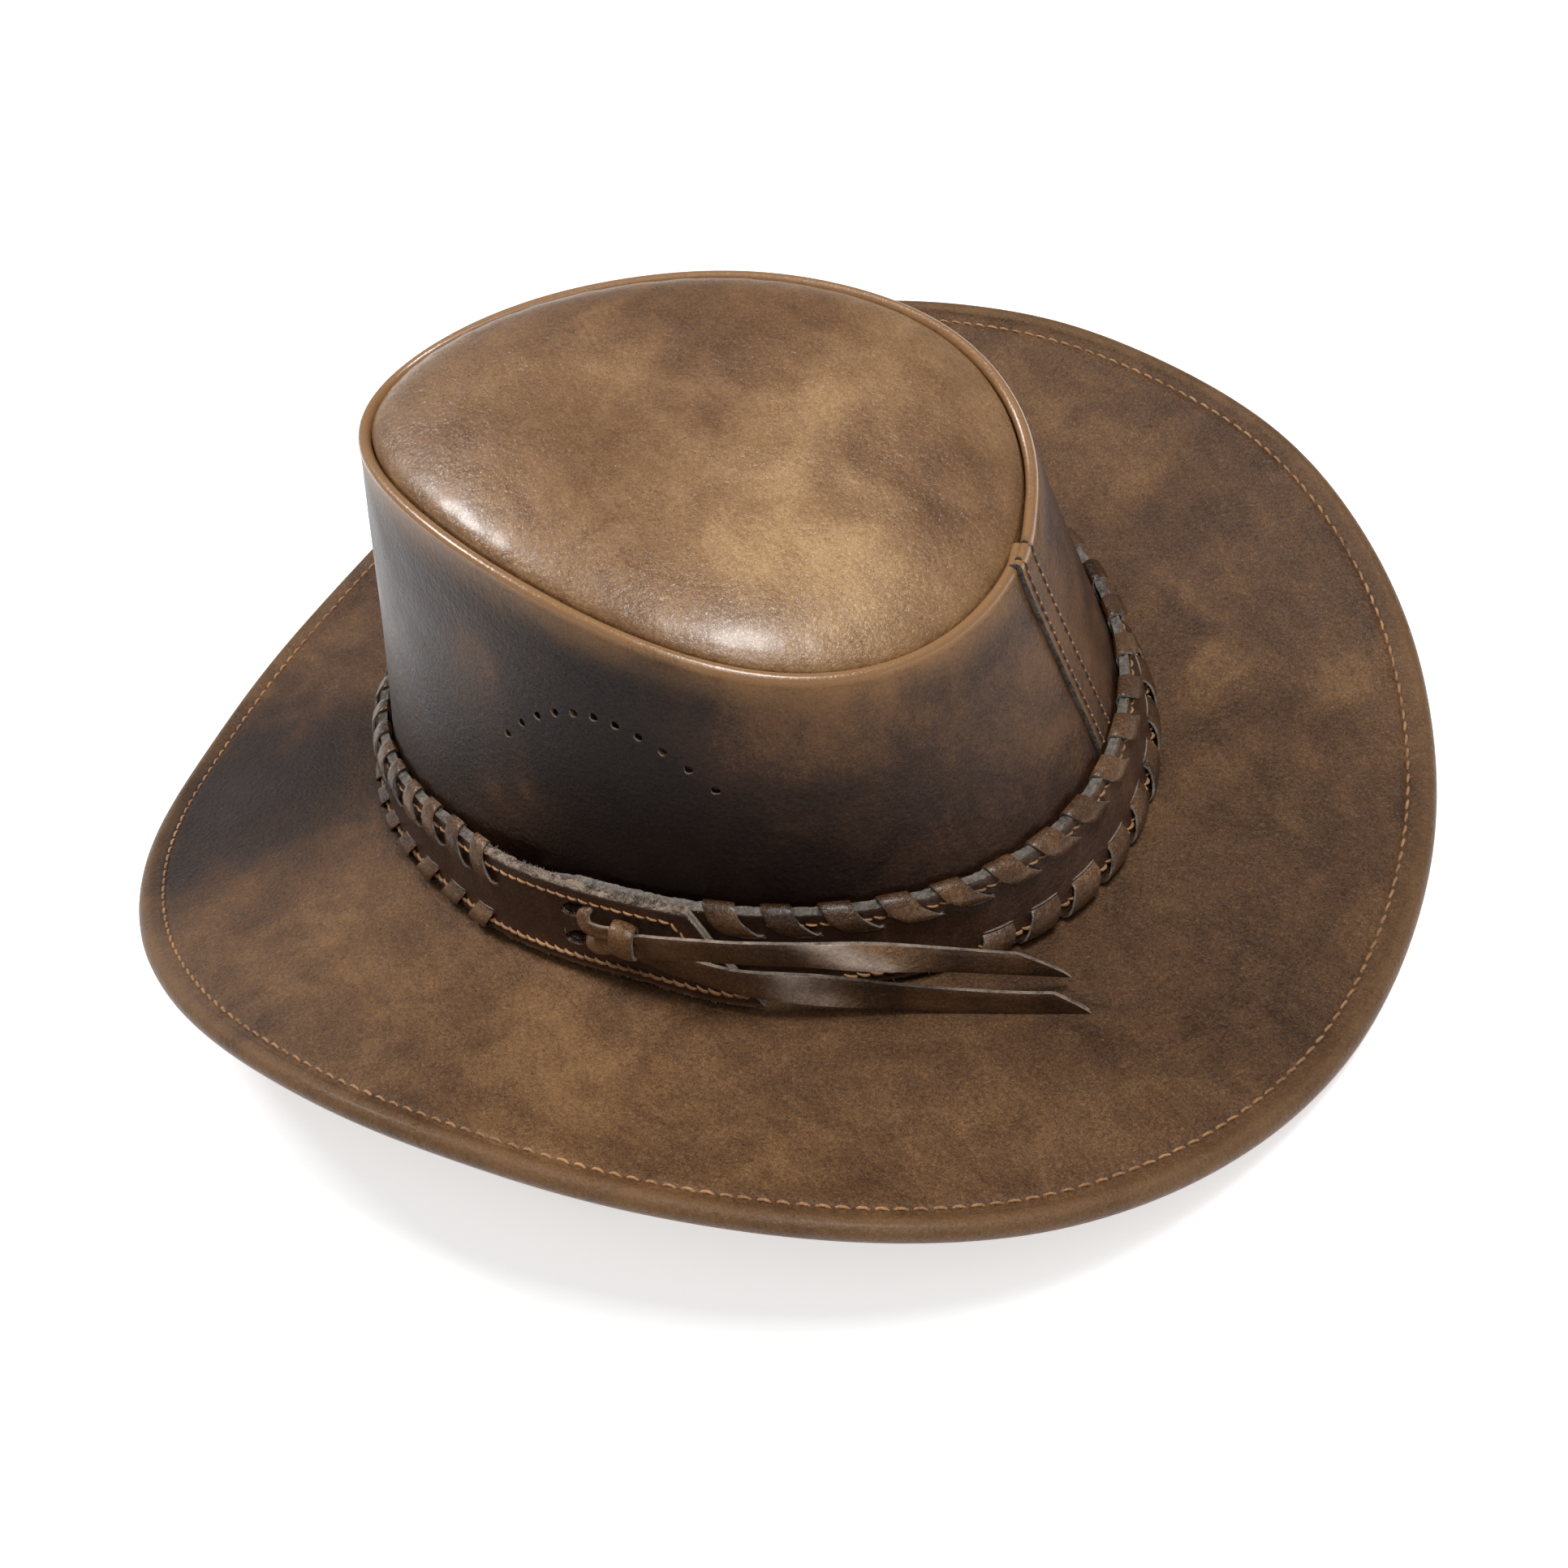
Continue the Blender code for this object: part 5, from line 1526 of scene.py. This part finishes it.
def make_tail(name, node, body, route, width, root, raised, cut, drop, fold):
    """A hanging lace end, raised by root and then by raised across its path.

    cut is how far its slanted end reaches, drop how far it droops and fold the y of the place
    where it has been bent: creased and turned to the light, with a painted highlight on the bend
    and painted shade just beyond it.
    """
    start = Vector(route[0])
    tucked = start + (start - Vector(route[1])).normalized() * TAIL_TUCK
    route = (tucked,) + tuple(route)
    length = sum((Vector(b) - Vector(a)).length for a, b in zip(route, route[1:]))
    lean = Vector((TAIL_LEAN, 0.0, 1.0))
    steps = 90
    sections = []
    for k in range(steps + 1):
        section = []
        for side, across in WRAP_SECTION:
            share = k / steps * (1.0 - (0.5 + across * 0.5) * cut / length)
            far = share * length
            tangent = (curve_point(route, share + 0.02) - curve_point(route, share - 0.02)).normalized()
            rise = (lean - tangent * lean.dot(tangent)).normalized()
            out = tangent.cross(rise)
            crown = (1.0 - abs(across) ** 4) * 0.00012 - (0.00012 if abs(across) > 0.95 else 0.0)
            wave = rough(Vector((far, across * 0.004, 1.0)), 0.013, 0.0005)
            narrow = mix(0.72, 1.0, smooth(far / 0.011))
            climb = across * width * narrow * 0.5 + mix(root, raised, smooth(far / 0.045))
            point = curve_point(route, share) + rise * climb
            tilt = -across * 0.0011 * bell(point.y - fold, 0.012)
            section.append(point + out * (side * (TAIL_THICKNESS * 0.5 + crown) + wave + tilt)
                           - UP * (drop * share ** 3))
        sections.append(section)

    # Painted highlight at the bend and painted shade just beyond it, over random tone.
    def tone_and_sheen_of(point):
        beside = point.y - fold
        return -0.02 + rough(point, 0.014, 0.16) + 0.20 * bell(beside, 0.008) - 0.16 * bell(
            beside - 0.016, 0.004)

    # Painted highlight: the pale worn colour laid along the bend.
    def wear_and_sheen_of(c, _):
        return 0.85 * bell(curve_point(route, c / steps).y - fold, 0.006)

    piece = loft(name, sections, False, [lace_skin, raw_edge], wrap_slot, tone_and_sheen_of, wear_and_sheen_of, 50.0, 1,
                 crease_of=lambda point: bell(point.y - fold - 0.008, 0.014))
    finish_piece(piece, body, "lace_leather", node)


# ---- Hidden metal -----------------------------------------------------------------------------
def dress_node(node, material):
    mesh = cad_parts[node].data
    mesh.materials.clear()
    mesh.materials.append(material)


# ---- Stage ------------------------------------------------------------------------------------
CAMERA_PLACE = Vector((0.2623, 0.1984, 0.3513))
CAMERA_RIGHT = Vector((-0.4002, 0.8960, -0.1924))
CAMERA_UP = Vector((-0.7381, -0.1907, 0.6472))
CAMERA_BACK = Vector((0.5433, 0.4010, 0.7376))
CAMERA_LENS = 38.45


def make_camera():
    camera = bpy.data.objects.new("camera", bpy.data.cameras.new("camera"))
    camera.data.sensor_width = 36.0
    camera.data.lens = CAMERA_LENS
    camera.data.clip_start = 0.01
    axes = Matrix((CAMERA_RIGHT, CAMERA_UP, CAMERA_BACK)).transposed().to_4x4()
    camera.matrix_world = Matrix.Translation(CAMERA_PLACE) @ axes
    bpy.context.scene.collection.objects.link(camera)
    bpy.context.scene.camera = camera


def make_softbox(name, direction, size, power):
    """A white rectangular lamp one metre from the hat, facing it."""
    data = bpy.data.lights.new(name, "AREA")
    data.shape = "RECTANGLE"
    data.size, data.size_y = size
    data.energy = power
    light = bpy.data.objects.new(name, data)
    back = Vector(direction).normalized()
    light.matrix_world = (Matrix.Translation(Vector((0.0, 0.0, 0.06)) + back)
                          @ back.to_track_quat("Z", "Y").to_matrix().to_4x4())
    bpy.context.scene.collection.objects.link(light)


def make_stage():
    size = 6.0
    corners = [(-size, -size, 0.0), (size, -size, 0.0), (size, size, 0.0), (-size, size, 0.0)]
    material, tree, shader, place = start_material("stage_paper")
    fibre = add_noise(tree, place, 300.0, 3.0)
    colour = add_ramp(tree, fibre, "Fac", ((0.3, (0.88, 0.88, 0.88)), (0.7, (0.90, 0.90, 0.90))))
    link(tree, colour, "Color", shader, "Base Color")
    # The glow that keeps the paper pale fades out where the hat stands, so that no light comes up
    # into the crown.
    shade = tree.nodes.new("ShaderNodeTexGradient")
    shade.gradient_type = "SPHERICAL"
    tree.links.new(add_stretch(tree, place, (0.0, 0.0, 0.0), (0.2, 0.2, 0.2)), shade.inputs["Vector"])
    glow = add_ramp(tree, shade, "Fac", ((0.30, (1.0, 1.0, 1.0)), (0.52, (0.0, 0.0, 0.0))))
    link(tree, glow, "Color", shader, "Emission Color")
    set_inputs(shader, Roughness=0.9, Emission_Strength=0.62)
    floor = make_piece("floor", [Vector(corner) for corner in corners], [(0, 1, 2, 3)], [material])


def make_lights():
    world = bpy.data.worlds.new("studio")
    bpy.context.scene.world = world
    world.use_nodes = True
    set_inputs(world.node_tree.nodes["Background"], Color=(1.0, 1.0, 1.0, 1.0), Strength=0.16)
    make_softbox("overhead_softbox", (-0.05, 0.31, 0.96), (0.30, 0.26), 6.0)
    make_softbox("front_softbox", (-0.10, -0.66, 0.74), (0.24, 0.18), 4.4)
    make_softbox("fill_softbox", (0.45, 0.35, 1.0), (0.45, 0.35), 1.2)
    bpy.context.scene.view_settings.view_transform = "Standard"


make_camera()
make_stage()
make_lights()
make_crown_top()
make_crown_wall()
make_seam_stitches()
make_brim()
make_brim_stitches()
make_sweatband()
make_seam_fuzz()
make_band()
make_frayed_edge()
make_band_fuzz()
make_band_stitches()
make_edge_lace("upper_lace_wraps", "upper_edge_lace", *UPPER_LACING)
make_edge_lace("lower_lace_wraps", "lower_edge_lace", *LOWER_LACING)
make_slits((UPPER_LACING, LOWER_LACING))
make_strands()
make_wrap()
make_tail("tail_upper", "tie_tail_upper", "upper_tail", UPPER_TAIL, 0.0062, 0.0, 0.00045,
          TAIL_CUT, 0.0010, 0.073)
make_tail("tail_lower", "tie_tail_lower", "lower_tail", LOWER_TAIL, TAIL_WIDTH, 0.0014, -0.0005,
          0.0075, 0.0012, 0.060)
dress_node("brim_wire", steel)
dress_node("wire_ferrule", brass)
